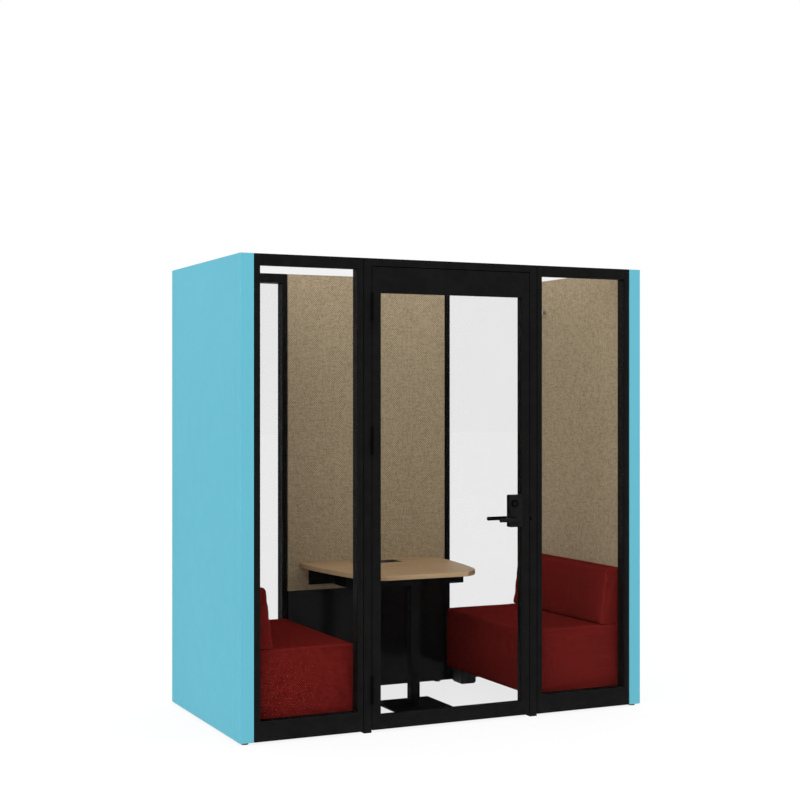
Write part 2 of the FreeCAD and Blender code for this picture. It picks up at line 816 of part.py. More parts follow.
def key_and_turn():
    bore = S.key_plug_radius + S.bore_play
    ring = rectangle(bore, S.key_ring_radius, ZERO, S.key_ring_proud)
    node("key_cylinder", turned("key_ring", ring, spindle_x, case_front, key_z, "-Y"))
    plug_start = case_front - S.key_ring_proud
    plug_length = case_back - plug_start
    plug = cylinder("key_plug_rod", S.key_plug_radius, plug_length, spindle_x, plug_start, key_z, "Y")
    slot_half = S.key_slot_width / 2
    slot = block("key_slot", spindle_x - slot_half, spindle_x + slot_half, plug_start,
                 plug_start + S.key_slot_depth, key_z - S.key_slot_height / 2, key_z + S.key_slot_height / 2)
    node("key_plug", cut("key_plug_slotted", plug, [slot]))
    rose_start = case_back + S.lever_play
    rose = [
        (ZERO, -S.lever_play), (S.key_plug_radius, -S.lever_play), (S.key_plug_radius, ZERO),
        (S.thumb_rose_radius, ZERO), (S.thumb_rose_radius, S.thumb_rose_height),
        (ZERO, S.thumb_rose_height),
    ]
    disc = turned("thumb_rose", rose, spindle_x, rose_start, key_z, "Y")
    grip_half, grip_end = S.thumb_grip_width / 2, S.thumb_grip_length / 2
    grip_outline = rounded_rectangle(spindle_x - grip_half, spindle_x + grip_half, key_z - grip_end,
                                     key_z + grip_end, grip_half * GRIP_ROUND_SHARE)
    grip = bar("thumb_grip", "XZ_Plane", [grip_outline], S.thumb_grip_height,
               rose_start + S.thumb_rose_height)
    node("thumb_turn", fused("thumb_turn_solid", [disc, grip]))


# Table

table_rear_y = rear_inner_y - S.table_wall_gap
table_front_y = table_rear_y - S.table_depth
table_bottom = S.table_top_height - S.table_thickness
leg_y = table_rear_y - S.leg_from_rear_edge
module_y = table_rear_y - S.module_from_rear_edge
module_half_x = S.module_length / 2
module_half_y = S.module_width / 2
lid_half_x = module_half_x - S.module_rim_width
lid_half_y = module_half_y - S.module_rim_width
well_half_x = lid_half_x - S.module_ledge
well_half_y = lid_half_y - S.module_ledge
shell_half_x = well_half_x + S.module_wall
shell_half_y = well_half_y + S.module_wall
module_seat_z = S.table_top_height - S.module_rim_height


def module_rim_outline(spare):
    x, y = module_half_x + spare, module_half_y + spare
    return rounded_rectangle(-x, x, module_y - y, module_y + y, S.module_rim_round)


def table_half_outline(side):
    """One side of the bullet-shaped top, from its rear corner round to the straight front edge."""
    rear, shoulder, front = (width / 2 for width in
                             (S.table_rear_width, S.table_shoulder_width, S.table_front_width))
    straight_y = table_rear_y - S.table_straight
    shoulder_y = table_front_y + S.table_corner_depth
    side_bow_x = (rear + shoulder) / 2 + S.table_side_bow / 2
    corner_bow_x = (shoulder + front) / 2 + S.table_corner_bow / 2
    corner_bow_y = (shoulder_y + table_front_y) / 2 - S.table_corner_bow / 2
    return [
        (rear * side, table_rear_y), (rear * side, straight_y),
        Bow(side_bow_x * side, (straight_y + shoulder_y) / 2), (shoulder * side, shoulder_y),
        Bow(corner_bow_x * side, corner_bow_y), (front * side, table_front_y),
    ]


def table_top():
    """The board with chamfered edges, a hole for the power module and a rebate for the module's rim."""
    outline = table_half_outline(LEFT) + table_half_outline(RIGHT)[::-1]
    hole_x, hole_y = shell_half_x + S.module_spare, shell_half_y + S.module_spare
    hole = rectangle(-hole_x, hole_x, module_y - hole_y, module_y + hole_y)
    body = bar("table_top_board", "XY_Plane", [outline, hole], S.table_thickness, table_bottom)
    doc.recompute()
    board = body.Tip
    rims = []
    for index, edge in enumerate(board.Shape.Edges, start=1):
        box = edge.BoundBox
        flat = box.ZLength < S.table_edge_chamfer.value
        inside_hole = max(abs(box.XMin), abs(box.XMax)) <= hole_x.value + S.module_spare.value
        behind_front = box.YMin > (table_front_y + S.table_edge_chamfer).value
        if flat and not (inside_hole and behind_front):
            rims.append(f"Edge{index}")
    softened = body.newObject("PartDesign::Chamfer", "table_edge_chamfers")
    softened.Base = (board, rims)
    softened.setExpression("Size", S.table_edge_chamfer.text)
    body.Tip = softened
    rebate = bar("module_rebate", "XY_Plane", [module_rim_outline(S.module_spare)], S.module_rim_height,
                 module_seat_z)
    node("table_top", cut("table_top_rebated", body, [rebate]))


def table_leg():
    half = S.leg_tube / 2
    bore = half - S.leg_tube_wall
    plate_top = S.glide_height + S.base_plate_thickness
    arm_bottom = table_bottom - S.cross_arm_height
    outer = rectangle(-half, half, leg_y - half, leg_y + half)
    inner = rectangle(-bore, bore, leg_y - bore, leg_y + bore)
    node("table_column", bar("column_tube", "XY_Plane", [outer, inner], arm_bottom - plate_top, plate_top))
    arm_half = S.cross_arm_length / 2
    wall = S.leg_tube_wall
    arm = [
        rectangle(leg_y - half, leg_y + half, arm_bottom, table_bottom),
        rectangle(leg_y - bore, leg_y + bore, arm_bottom + wall, table_bottom - wall),
    ]
    caps = [
        block("cross_arm_cap", *sided(side, arm_half - wall, arm_half), leg_y - half, leg_y + half,
              arm_bottom, table_bottom)
        for side in (LEFT, RIGHT)
    ]
    tube = bar("cross_arm_tube", "YZ_Plane", arm, (arm_half - wall) * 2, wall - arm_half)
    node("table_cross_arm", tube, *caps)
    plate_half = S.base_plate_width / 2
    plate = rounded_rectangle(-plate_half, plate_half, leg_y - plate_half, leg_y + plate_half,
                              S.base_plate_round)
    node("table_base_plate", bar("base_plate", "XY_Plane", [plate], S.base_plate_thickness, S.glide_height))
    spot = plate_half - S.glide_inset
    node("table_glides", *[
        cylinder("table_glide", S.glide_radius, S.glide_height, spot * across, leg_y + spot * along, ZERO)
        for across in (LEFT, RIGHT) for along in (LEFT, RIGHT)
    ])


def table_wall_support():
    metal = S.wall_rail_metal
    back = rear_inner_y
    ledge = back - S.wall_rail_ledge
    bottom = table_bottom - S.wall_rail_height
    angle = [
        (back, bottom), (back, table_bottom), (ledge, table_bottom), (ledge, table_bottom - metal),
        (back - metal, table_bottom - metal), (back - metal, bottom),
    ]
    node("table_wall_rail", bar("wall_rail_angle", "YZ_Plane", [angle], S.wall_rail_length,
                                -S.wall_rail_length / 2))
    tray_half = S.tray_width / 2
    tray_rear = ledge
    tray_front = tray_rear - S.tray_depth
    tray_bottom = table_bottom - S.tray_height
    sheet_metal = S.tray_metal
    trough = block("tray_blank", -tray_half, tray_half, tray_front, tray_rear, tray_bottom, table_bottom)
    inside = block("tray_inside", sheet_metal - tray_half, tray_half - sheet_metal, tray_front + sheet_metal,
                   tray_rear - sheet_metal, tray_bottom + sheet_metal, table_bottom)
    node("cable_tray", cut("tray_folded", trough, [inside]))


def power_module():
    """A housing let in flush with the table top, its flip-up lid on two pins and its socket plate."""
    seat, top = module_seat_z, S.table_top_height
    seat_x, seat_y = lid_half_x + S.lid_play, lid_half_y + S.lid_play
    rim_plate = bar("module_rim", "XY_Plane", [module_rim_outline(ZERO)], S.module_rim_height, seat)
    lid_seat = block("module_lid_seat", -seat_x, seat_x, module_y - seat_y, module_y + seat_y, seat, top)
    bottom = seat - S.module_drop
    shell_y0, shell_y1 = module_y - shell_half_y, module_y + shell_half_y
    shell = block("module_shell", -shell_half_x, shell_half_x, shell_y0, shell_y1, bottom, seat)
    well_y0, well_y1 = module_y - well_half_y, module_y + well_half_y
    well = block("module_well", -well_half_x, well_half_x, well_y0, well_y1, bottom + S.module_wall, seat)
    half_rim = S.module_rim_height / 2
    rear_end, front_end = module_y + lid_half_y, module_y - lid_half_y
    axis_y, axis_z = rear_end - half_rim, seat + half_rim
    pin_x = lid_half_x + S.lid_pin_length
    pin_bore = cylinder("module_pin_bore", S.lid_pin_radius + S.lid_pin_play, pin_x * 2, -pin_x, axis_y,
                        axis_z, "X")
    housing = fused("module_body", [rim_plate, shell])
    node("power_housing", cut("module_housing", housing, [lid_seat, well, pin_bore]))

    rise = S.lid_play / 2
    lid_outline = [
        (front_end, seat + rise), (axis_y, seat + rise),
        Bow(rear_end - rise, axis_z), (axis_y, top - rise), (front_end, top - rise),
    ]
    lid_plate = bar("lid_plate", "YZ_Plane", [lid_outline], lid_half_x * 2, -lid_half_x)
    notch = cylinder("lid_finger_notch", S.lid_notch_radius, S.module_rim_height, ZERO, front_end, seat)
    pins = cylinder("lid_pins", S.lid_pin_radius, pin_x * 2 - S.lid_play, S.lid_play / 2 - pin_x, axis_y,
                    axis_z, "X")
    node("power_lid", fused("power_lid_solid", [cut("lid_notched", lid_plate, [notch]), pins]))

    plate_z = bottom + S.socket_plate_lift
    plate = block("socket_plate_blank", -well_half_x, well_half_x, well_y0, well_y1,
                  plate_z - S.socket_plate_thickness, plate_z)
    half_open = S.socket_opening / 2
    openings = [
        bar("socket_opening", "XY_Plane", [rounded_rectangle(
            S.socket_pitch * step - half_open, S.socket_pitch * step + half_open,
            module_y - half_open, module_y + half_open, half_open / 2)],
            S.socket_depth, plate_z - S.socket_depth)
        for step in (-1, 0, 1)
    ]
    node("power_socket_plate", cut("socket_plate", plate, openings))


# Benches

bench_y0 = front_inner_y + S.bench_end_gap
bench_y1 = rear_inner_y - S.bench_end_gap
bench_front = S.bench_front_from_middle
bench_rear = inner_x - S.bench_wall_gap


def section_sketch(name, y, loop):
    """A cushion's section at one place along the bench, drawn across X and up Z."""
    sketch = doc.addObject("Sketcher::SketchObject", name)
    draw_path(sketch, loop)
    return place(sketch, ZERO, y, ZERO, "-Y")


def cushion(label, section):
    """A soft block lofted through its two ends and a fuller middle."""
    middle = (bench_y0 + bench_y1) / 2
    loft = doc.addObject("Part::Loft", f"{label}_loft")
    loft.Sections = [
        section_sketch(f"{label}_near", bench_y0, section(END_SWELL_SHARE)),
        section_sketch(f"{label}_middle", middle, section(1)),
        section_sketch(f"{label}_far", bench_y1, section(END_SWELL_SHARE)),
    ]
    loft.Solid = True
    node(label, loft)


def seat_section(side):
    radius = S.bench_edge_round
    foot_x = bench_rear - S.back_foot_thickness
    crown_x = bench_front + (foot_x - bench_front) * CROWN_PLACE_SHARE
    front_mid_z = (S.bench_foot_height + S.seat_height) / 2
    front = bench_front + S.seat_bulge

    def section(swell):
        top_bow = Bow(crown_x * side, S.seat_height + S.seat_crown * swell)
        return [
            (front * side, S.bench_foot_height), (bench_rear * side, S.bench_foot_height),
            (bench_rear * side, S.seat_height), (foot_x * side, S.seat_height), top_bow,
            *round_corner(front * side, S.seat_height, side, -1, radius, True),
            Bow((front - S.seat_bulge * swell) * side, front_mid_z),
        ]

    return section


def back_section(side):
    radius = S.bench_edge_round
    foot_x = bench_rear - S.back_foot_thickness
    top_x = bench_rear - S.back_top_thickness
    lean_share = radius.value / (S.back_top - S.seat_height).value
    lower_x = top_x - (top_x - foot_x) * lean_share
    mid_x, mid_z = (foot_x + top_x) / 2, (S.seat_height + S.back_top) / 2

    def section(swell):
        return [
            (foot_x * side, S.seat_height), (bench_rear * side, S.seat_height),
            (bench_rear * side, S.back_top), ((top_x + radius) * side, S.back_top),
            Bow((top_x + radius * ROUND_SHARE) * side, S.back_top - radius * ROUND_SHARE),
            (lower_x * side, S.back_top - radius),
            Bow((mid_x - S.back_bulge * swell) * side, mid_z),
        ]

    return section


def bench_foot(x, y):
    """A block foot, tapered in at its lower edges."""
    half = S.bench_foot_width / 2
    toe = half - S.bench_foot_chamfer
    profile = [
        (x - toe, ZERO), (x + toe, ZERO), (x + half, S.bench_foot_chamfer),
        (x + half, S.bench_foot_height), (x - half, S.bench_foot_height), (x - half, S.bench_foot_chamfer),
    ]
    return bar("bench_foot", "XZ_Plane", [profile], S.bench_foot_width, y - half)


def benches():
    for word, side in (("left", LEFT), ("right", RIGHT)):
        cushion(f"bench_{word}_seat", seat_section(side))
        cushion(f"bench_{word}_back", back_section(side))
    half = S.bench_foot_width / 2
    near_x = bench_front + S.bench_foot_inset + half
    far_x = bench_rear - half
    feet = []
    for side in (LEFT, RIGHT):
        for x in (near_x, far_x):
            for y in (bench_y0 + half, bench_y1 - half):
                feet.append(bench_foot(x * side, y))
    node("bench_feet", *feet)


def wall_peg():
    """A small round peg on the right wall: a slim neck and a wider flat head."""
    head_start = S.peg_length - S.peg_head_thickness
    profile = [
        (ZERO, ZERO), (S.peg_neck_radius, ZERO), (S.peg_neck_radius, head_start),
        (S.peg_head_radius, head_start), (S.peg_head_radius, S.peg_length), (ZERO, S.peg_length),
    ]
    node("wall_peg", turned("wall_peg_knob", profile, inner_x, rear_inner_y - S.peg_from_rear_wall,
                            S.pod_height - S.peg_from_top, "-X"))


# The whole pod

corner_post("corner_post_front_left", LEFT, front_y, 1)
corner_post("corner_post_front_right", RIGHT, front_y, 1)
corner_post("corner_post_rear_left", LEFT, rear_y, -1)
corner_post("corner_post_rear_right", RIGHT, rear_y, -1)
side_wall("left", LEFT)
side_wall("right", RIGHT)
rear_panel()
windows()
joint_strips()
levelling_feet()
doorway()
door_leaf()
hinges()
lock_case()
lock_motion()
key_and_turn()
table_top()
table_leg()
table_wall_support()
power_module()
benches()
wall_peg()
doc.recompute()

for item in doc.Objects:
    if "Invalid" in item.State or "Error" in item.State:
        raise RuntimeError(f"{item.Label} did not rebuild")
for piece in nodes:
    if piece.Shape.isNull() or not piece.Shape.isValid() or not piece.Shape.Solids:
        raise RuntimeError(f"{piece.Label} is not a sound solid")

os.makedirs("parts", exist_ok=True)
for piece in nodes:
    piece.Shape.exportStep(f"parts/{piece.Label}.step")
print(len(nodes), "nodes,", sum(len(piece.Shape.Solids) for piece in nodes), "solids")
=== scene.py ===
import json
import math

import bmesh
import bpy
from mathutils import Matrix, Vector
from mathutils.bvhtree import BVHTree
from mathutils.kdtree import KDTree


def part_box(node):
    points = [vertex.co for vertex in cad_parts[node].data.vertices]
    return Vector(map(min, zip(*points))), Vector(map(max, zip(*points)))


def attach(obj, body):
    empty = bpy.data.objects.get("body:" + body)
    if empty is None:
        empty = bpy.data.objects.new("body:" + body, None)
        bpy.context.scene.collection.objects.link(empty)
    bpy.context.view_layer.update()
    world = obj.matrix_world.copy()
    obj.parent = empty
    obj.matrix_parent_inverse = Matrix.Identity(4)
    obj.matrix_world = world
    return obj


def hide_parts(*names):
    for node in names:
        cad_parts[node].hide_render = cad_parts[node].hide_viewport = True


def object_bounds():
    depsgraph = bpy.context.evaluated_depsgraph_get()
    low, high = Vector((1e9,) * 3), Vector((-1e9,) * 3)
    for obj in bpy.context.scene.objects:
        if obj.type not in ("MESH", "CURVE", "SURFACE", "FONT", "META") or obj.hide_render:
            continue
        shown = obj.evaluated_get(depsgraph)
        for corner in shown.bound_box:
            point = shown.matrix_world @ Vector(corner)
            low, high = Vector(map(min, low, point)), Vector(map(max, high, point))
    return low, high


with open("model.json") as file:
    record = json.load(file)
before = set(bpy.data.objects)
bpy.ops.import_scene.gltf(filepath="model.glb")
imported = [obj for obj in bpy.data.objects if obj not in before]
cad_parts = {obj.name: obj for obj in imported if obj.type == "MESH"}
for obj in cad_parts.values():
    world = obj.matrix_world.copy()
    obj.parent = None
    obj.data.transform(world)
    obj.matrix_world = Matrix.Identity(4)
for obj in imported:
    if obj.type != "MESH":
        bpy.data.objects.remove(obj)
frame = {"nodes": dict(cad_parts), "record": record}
cad_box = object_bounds()
nodes = frame["nodes"]

LEFT, RIGHT = -1, 1

# Viewpoint of the photograph, in metres and degrees: from the pod's middle, its front plane and the floor
CAMERA_SIDE = -3.4794
CAMERA_STAND_OFF = 6.7793
CAMERA_HEIGHT = 1.6407
CAMERA_TURN = -25.16
CAMERA_LENS = 67.77
SENSOR_WIDTH = 36

# Light: how bright the sky is on the object, one soft key lamp, and a floor that glows for the eye only
SKY_STRENGTH = 1.40
KEY_POWER = 1050
KEY_SIZE = 12.0
KEY_PLACE = (-13.6, -12.8, 7.2)
FLOOR_PALE = (0.110, 0.110, 0.110, 1)
FLOOR_PALER = (0.118, 0.118, 0.118, 1)
FLOOR_GLOW = 0.865
FLOOR_HALF_SIZE = 60
FLOOR_SQUARES = 8

# Finishes, as linear colours
BLUE = (0.151, 0.535, 0.668, 1)
BLUE_DEEP = (0.147, 0.522, 0.655, 1)
TAUPE_LIGHT = (0.592, 0.474, 0.314, 1)
TAUPE_DARK = (0.138, 0.105, 0.064, 1)
RED_LIGHT = (0.252, 0.0200, 0.0160, 1)
RED_DARK = (0.025, 0.0032, 0.0028, 1)
RED_THREAD = (0.240, 0.0220, 0.0170, 1)
FRAME_BLACK = (0.0050, 0.0050, 0.0050, 1)
FRAME_WORN = (0.0075, 0.0075, 0.0075, 1)
WOOD_LIGHT = (0.530, 0.362, 0.206, 1)
WOOD_DARK = (0.415, 0.277, 0.153, 1)
DUST_GREY = (0.240, 0.235, 0.225, 1)
CORE_DARK = (0.020, 0.019, 0.018, 1)
CORE_LIGHT = (0.042, 0.040, 0.037, 1)
TILE_DARK = (0.0095, 0.0092, 0.0094, 1)
TILE_LIGHT = (0.0120, 0.0116, 0.0117, 1)
STEEL_DARK = (0.36, 0.36, 0.355, 1)
STEEL_LIGHT = (0.56, 0.56, 0.55, 1)
RUBBER_BLACK = (0.0055, 0.0055, 0.0055, 1)
RUBBER_GREY = (0.010, 0.010, 0.010, 1)
PLASTIC_BLACK = (0.0065, 0.0065, 0.0065, 1)
PLASTIC_GREY = (0.011, 0.011, 0.011, 1)
HARDWARE_BLACK = (0.0042, 0.0042, 0.0042, 1)
# Hinges and the key cylinder: near black, darker than the hardware, as painted shade for their recesses and the
# gap round the key plug
HINGE_PAINTED_SHADE = (0.0012, 0.0012, 0.0012, 1)
HINGE_PAINTED_SHADE_WORN = (0.0026, 0.0026, 0.0026, 1)
# Rubber in recessed gaps: darker than the rubber's own black, as painted shade for the gaps
RECESS_PAINTED_SHADE = (0.0010, 0.0010, 0.0010, 1)
RECESS_PAINTED_SHADE_PALER = (0.0020, 0.0020, 0.0020, 1)

# Panes: they reflect less than plain glass does, because the photograph shows almost no reflection in them
GLASS_TINT = (0.884, 0.886, 0.885, 1)
GLASS_TINT_PALE = (0.892, 0.893, 0.892, 1)
GLASS_SHADOW = (0.888, 0.890, 0.889, 1)
GLASS_MIRROR = (0.05, 0.05, 0.05, 1)
GLASS_IOR = 1.15


# Shader helpers

FLOAT, VECTOR = "NodeSocketFloat", "NodeSocketVector"


def add_node(tree, kind, values=None, **settings):
    """Adds a node, sets its own settings, and links or fills its inputs."""
    made = tree.nodes.new(kind)
    for name, value in settings.items():
        setattr(made, name, value)
    for name, value in (values or {}).items():
        if isinstance(value, bpy.types.NodeSocket):
            tree.links.new(value, made.inputs[name])
        else:
            made.inputs[name].default_value = value
    return made


def arithmetic(tree, operation, *terms):
    return add_node(tree, "ShaderNodeMath", dict(enumerate(terms)), operation=operation).outputs[0]


def between(tree, share, first, second):
    """A value that goes from first to second with share."""
    return add_node(tree, "ShaderNodeMix", {0: share, 2: first, 3: second}).outputs[0]


def colour_between(tree, share, first, second):
    return add_node(tree, "ShaderNodeMix", {0: share, 6: first, 7: second}, data_type="RGBA").outputs[2]


def ramp(tree, value, low, high):
    """A value spread smoothly over 0 to 1 between low and high."""
    made = add_node(tree, "ShaderNodeMapRange", {"Value": value, "From Min": low, "From Max": high},
                    interpolation_type="SMOOTHSTEP")
    return made.outputs["Result"]


def noise(tree, vector, scale, detail=2.0, roughness=0.5):
    made = add_node(tree, "ShaderNodeTexNoise",
                    {"Vector": vector, "Scale": scale, "Detail": detail, "Roughness": roughness})
    return made.outputs["Fac"]


def stretched(tree, vector, x, y, z):
    return add_node(tree, "ShaderNodeMapping", {"Vector": vector, "Scale": (x, y, z)}).outputs["Vector"]


def object_place(tree):
    return add_node(tree, "ShaderNodeTexCoord").outputs["Object"]


def new_group(name, inputs, outputs):
    """Starts a shader node group with named float inputs and outputs; gives its tree and its two ends."""
    group = bpy.data.node_groups.new(name, "ShaderNodeTree")
    for label, default in inputs.items():
        socket = group.interface.new_socket(label, in_out="INPUT", socket_type=FLOAT)
        socket.default_value = default
    for label, kind in outputs.items():
        group.interface.new_socket(label, in_out="OUTPUT", socket_type=kind)
    source = group.nodes.new("NodeGroupInput")
    sink = group.nodes.new("NodeGroupOutput")
    return group, source.outputs, sink.inputs


def use_group(tree, group, values=None):
    made = tree.nodes.new("ShaderNodeGroup")
    made.node_tree = group
    for name, value in (values or {}).items():
        made.inputs[name].default_value = value
    return made.outputs


# Effects that several finishes share

def face_place_group():
    """Two coordinates along whichever face the point lies on, in metres."""
    group, _, sink = new_group("face_place", {}, {"Place": VECTOR})
    coordinates = add_node(group, "ShaderNodeTexCoord")
    place = add_node(group, "ShaderNodeSeparateXYZ", {0: coordinates.outputs["Object"]}).outputs
    facing = add_node(group, "ShaderNodeVectorMath", {0: coordinates.outputs["Normal"]},
                      operation="ABSOLUTE")
    x, y, z = add_node(group, "ShaderNodeSeparateXYZ", {0: facing.outputs[0]}).outputs
    sideways = arithmetic(group, "GREATER_THAN", x, arithmetic(group, "MAXIMUM", y, z))
    upwards = arithmetic(group, "GREATER_THAN", z, arithmetic(group, "MAXIMUM", x, y))
    along = between(group, sideways, place[0], place[1])
    across = between(group, upwards, place[2], place[1])
    joined = add_node(group, "ShaderNodeCombineXYZ", {0: along, 1: across})
    group.links.new(joined.outputs[0], sink["Place"])
    return group


def yarn_crown(tree, place):
    """Height over the width of one yarn: zero at its sides and one in its middle."""
    wave = arithmetic(tree, "SINE", arithmetic(tree, "MULTIPLY", place, math.pi))
    return arithmetic(tree, "ABSOLUTE", wave)


def weave_group(face_place):
    """Plain weave: over and under yarns, their slubs and the fine fuzz on them."""
    group, source, sink = new_group(
        "cloth_weave", {"Yarn Pitch": 0.002, "Slub Length": 6.0},
        {"Height": FLOAT, "Yarn": FLOAT, "Over": FLOAT, "Slub": FLOAT})
    place = use_group(group, face_place)["Place"]
    count = arithmetic(group, "DIVIDE", 1.0, source["Yarn Pitch"])
    scaled = add_node(group, "ShaderNodeVectorMath", {0: place, "Scale": count}, operation="SCALE")
    scaled = scaled.outputs[0]
    wander = add_node(group, "ShaderNodeTexNoise", {"Vector": scaled, "Scale": 0.21, "Detail": 1.0})
    shaken = add_node(group, "ShaderNodeVectorMath",
                      {0: wander.outputs["Color"], 1: (0.9, 0.9, 0.9), 2: scaled}, operation="MULTIPLY_ADD")
    along, across, _ = add_node(group, "ShaderNodeSeparateXYZ", {0: shaken.outputs[0]}).outputs
    warp, weft = yarn_crown(group, along), yarn_crown(group, across)
    step = arithmetic(group, "ADD", arithmetic(group, "FLOOR", along), arithmetic(group, "FLOOR", across))
    over = arithmetic(group, "FLOORED_MODULO", step, 2.0)
    crown = between(group, over, warp, weft)
    slub_scale = arithmetic(group, "DIVIDE", 1.0, source["Slub Length"])
    slubs = [noise(group, stretched(group, shaken.outputs[0], *squeeze), slub_scale, 3.0, 0.6)
             for squeeze in ((1.0, 0.22, 1.0), (0.22, 1.0, 1.0))]
    slub = between(group, 0.5, *slubs)
    fuzz = noise(group, shaken.outputs[0], 3.7, 2.0)
    height = arithmetic(group, "MULTIPLY_ADD", fuzz, 0.35, arithmetic(group, "MULTIPLY", crown, 0.65))
    group.links.new(height, sink["Height"])
    group.links.new(crown, sink["Yarn"])
    group.links.new(over, sink["Over"])
    group.links.new(ramp(group, slub, 0.34, 0.66), sink["Slub"])
    return group


def drift_group():
    """Slow change over a surface, in soft patches."""
    group, source, sink = new_group("slow_drift", {"Patch Size": 0.4}, {"Drift": FLOAT})
    scale = arithmetic(group, "DIVIDE", 1.0, source["Patch Size"])
    value = noise(group, object_place(group), scale, 3.0, 0.55)
    group.links.new(ramp(group, value, 0.3, 0.7), sink["Drift"])
    return group


def coat_group():
    """Sprayed and baked coat: a fine pebbled relief and patches of more or less gloss."""
    group, source, sink = new_group("sprayed_coat", {"Grain Size": 0.0012},
                                    {"Height": FLOAT, "Gloss": FLOAT})
    scale = arithmetic(group, "DIVIDE", 1.0, source["Grain Size"])
    place = object_place(group)
    pebbles = noise(group, place, scale, 2.0, 0.55)
    patches = noise(group, place, arithmetic(group, "MULTIPLY", scale, 0.02), 3.0, 0.6)
    group.links.new(pebbles, sink["Height"])
    group.links.new(ramp(group, patches, 0.35, 0.68), sink["Gloss"])
    return group


def rub_group():
    """Thin scuffs that hands, cloths and bags leave, each a short streak."""
    group, source, sink = new_group("rub_marks", {"Length": 0.08, "Amount": 0.3}, {"Rub": FLOAT})
    scale = arithmetic(group, "DIVIDE", 1.0, source["Length"])
    place = object_place(group)
    streaks = noise(group, stretched(group, place, 9.0, 9.0, 0.8), scale, 4.0, 0.65)
    sides = noise(group, stretched(group, place, 0.8, 9.0, 9.0), scale, 4.0, 0.65)
    where = ramp(group, noise(group, place, arithmetic(group, "MULTIPLY", scale, 0.35), 2.0), 0.45, 0.7)
    either = arithmetic(group, "MAXIMUM", ramp(group, streaks, 0.62, 0.74),
                        ramp(group, sides, 0.64, 0.76))
    rub = arithmetic(group, "MULTIPLY", arithmetic(group, "MULTIPLY", either, where), source["Amount"])
    group.links.new(rub, sink["Rub"])
    return group


def dust_group():
    """Dust on ledges and a scuffed band close over the floor."""
    group, source, sink = new_group("settled_dust", {"Reach": 0.12, "Amount": 0.25}, {"Dust": FLOAT})
    coordinates = add_node(group, "ShaderNodeTexCoord")
    height = add_node(group, "ShaderNodeSeparateXYZ", {0: coordinates.outputs["Object"]}).outputs[2]
    upward = add_node(group, "ShaderNodeSeparateXYZ", {0: coordinates.outputs["Normal"]}).outputs[2]
    low = arithmetic(group, "SUBTRACT", 1.0, ramp(group, height, 0.0, source["Reach"]))
    ledge = arithmetic(group, "MULTIPLY", ramp(group, upward, 0.7, 1.0), 0.6)
    cloud = ramp(group, noise(group, coordinates.outputs["Object"], 26.0, 4.0, 0.65), 0.35, 0.75)
    either = arithmetic(group, "MAXIMUM", arithmetic(group, "MULTIPLY", low, 0.5), ledge)
    dust = arithmetic(group, "MULTIPLY", arithmetic(group, "MULTIPLY", either, cloud), source["Amount"])
    group.links.new(dust, sink["Dust"])
    return group


def figure_group():
    """Wood figure: slow growth bands, finer streaks and short pores, all along X."""
    group, source, sink = new_group("wood_figure", {"Band Width": 0.05},
                                    {"Band": FLOAT, "Streak": FLOAT, "Pore": FLOAT})
    scale = arithmetic(group, "DIVIDE", 1.0, source["Band Width"])
    place = object_place(group)
    band = noise(group, stretched(group, place, 0.07, 1.0, 1.0), scale, 4.0, 0.6)
    streak = noise(group, stretched(group, place, 0.03, 1.0, 1.0),
                   arithmetic(group, "MULTIPLY", scale, 9.0), 3.0, 0.6)
    pore = noise(group, stretched(group, place, 0.05, 1.0, 1.0),
                 arithmetic(group, "MULTIPLY", scale, 42.0), 2.0)
    group.links.new(ramp(group, band, 0.32, 0.68), sink["Band"])
    group.links.new(ramp(group, streak, 0.35, 0.65), sink["Streak"])
    group.links.new(ramp(group, pore, 0.58, 0.68), sink["Pore"])
    return group


FACE_PLACE = face_place_group()
WEAVE = weave_group(FACE_PLACE)
DRIFT = drift_group()
COAT = coat_group()
RUB = rub_group()
DUST = dust_group()
FIGURE = figure_group()


# Finishes

def new_finish(name):
    """Starts a material with one Principled surface."""
    finish = bpy.data.materials.new(name)
    finish.use_nodes = True
    tree = finish.node_tree
    tree.nodes.clear()
    surface = tree.nodes.new("ShaderNodeBsdfPrincipled")
    output = tree.nodes.new("ShaderNodeOutputMaterial")
    tree.links.new(surface.outputs["BSDF"], output.inputs["Surface"])
    return finish, tree, surface


def set_inputs(tree, surface, **values):
    """Links or fills the surface's inputs, written with underscores for spaces."""
    for name, value in values.items():
        socket = surface.inputs[name.replace("_", " ")]
        if isinstance(value, bpy.types.NodeSocket):
            tree.links.new(value, socket)
        else:
            socket.default_value = value


def relief(tree, height, depth, strength=1.0):
    made = add_node(tree, "ShaderNodeBump", {"Height": height, "Distance": depth, "Strength": strength})
    return made.outputs["Normal"]


def lacquer(name, light, deep, roughness, specular):
    """Sprayed lacquer on panels and posts, with faint handling marks."""
    finish, tree, surface = new_finish(name)
    drift = use_group(tree, DRIFT, {"Patch Size": 0.7})["Drift"]
    coat = use_group(tree, COAT, {"Grain Size": 0.0016})
    rub = use_group(tree, RUB, {"Length": 0.12, "Amount": 0.25})["Rub"]
    dust = use_group(tree, DUST, {"Reach": 0.10, "Amount": 0.16})["Dust"]
    colour = colour_between(tree, drift, light, deep)
    colour = colour_between(tree, dust, colour, DUST_GREY)
    rough = between(tree, coat["Gloss"], roughness - 0.05, roughness + 0.05)
    rough = arithmetic(tree, "ADD", rough, arithmetic(tree, "MULTIPLY", rub, 0.2))
    set_inputs(tree, surface, Base_Color=colour, Roughness=rough, Specular_IOR_Level=specular,
               Normal=relief(tree, coat["Height"], depth=0.00008, strength=0.5))
    return finish


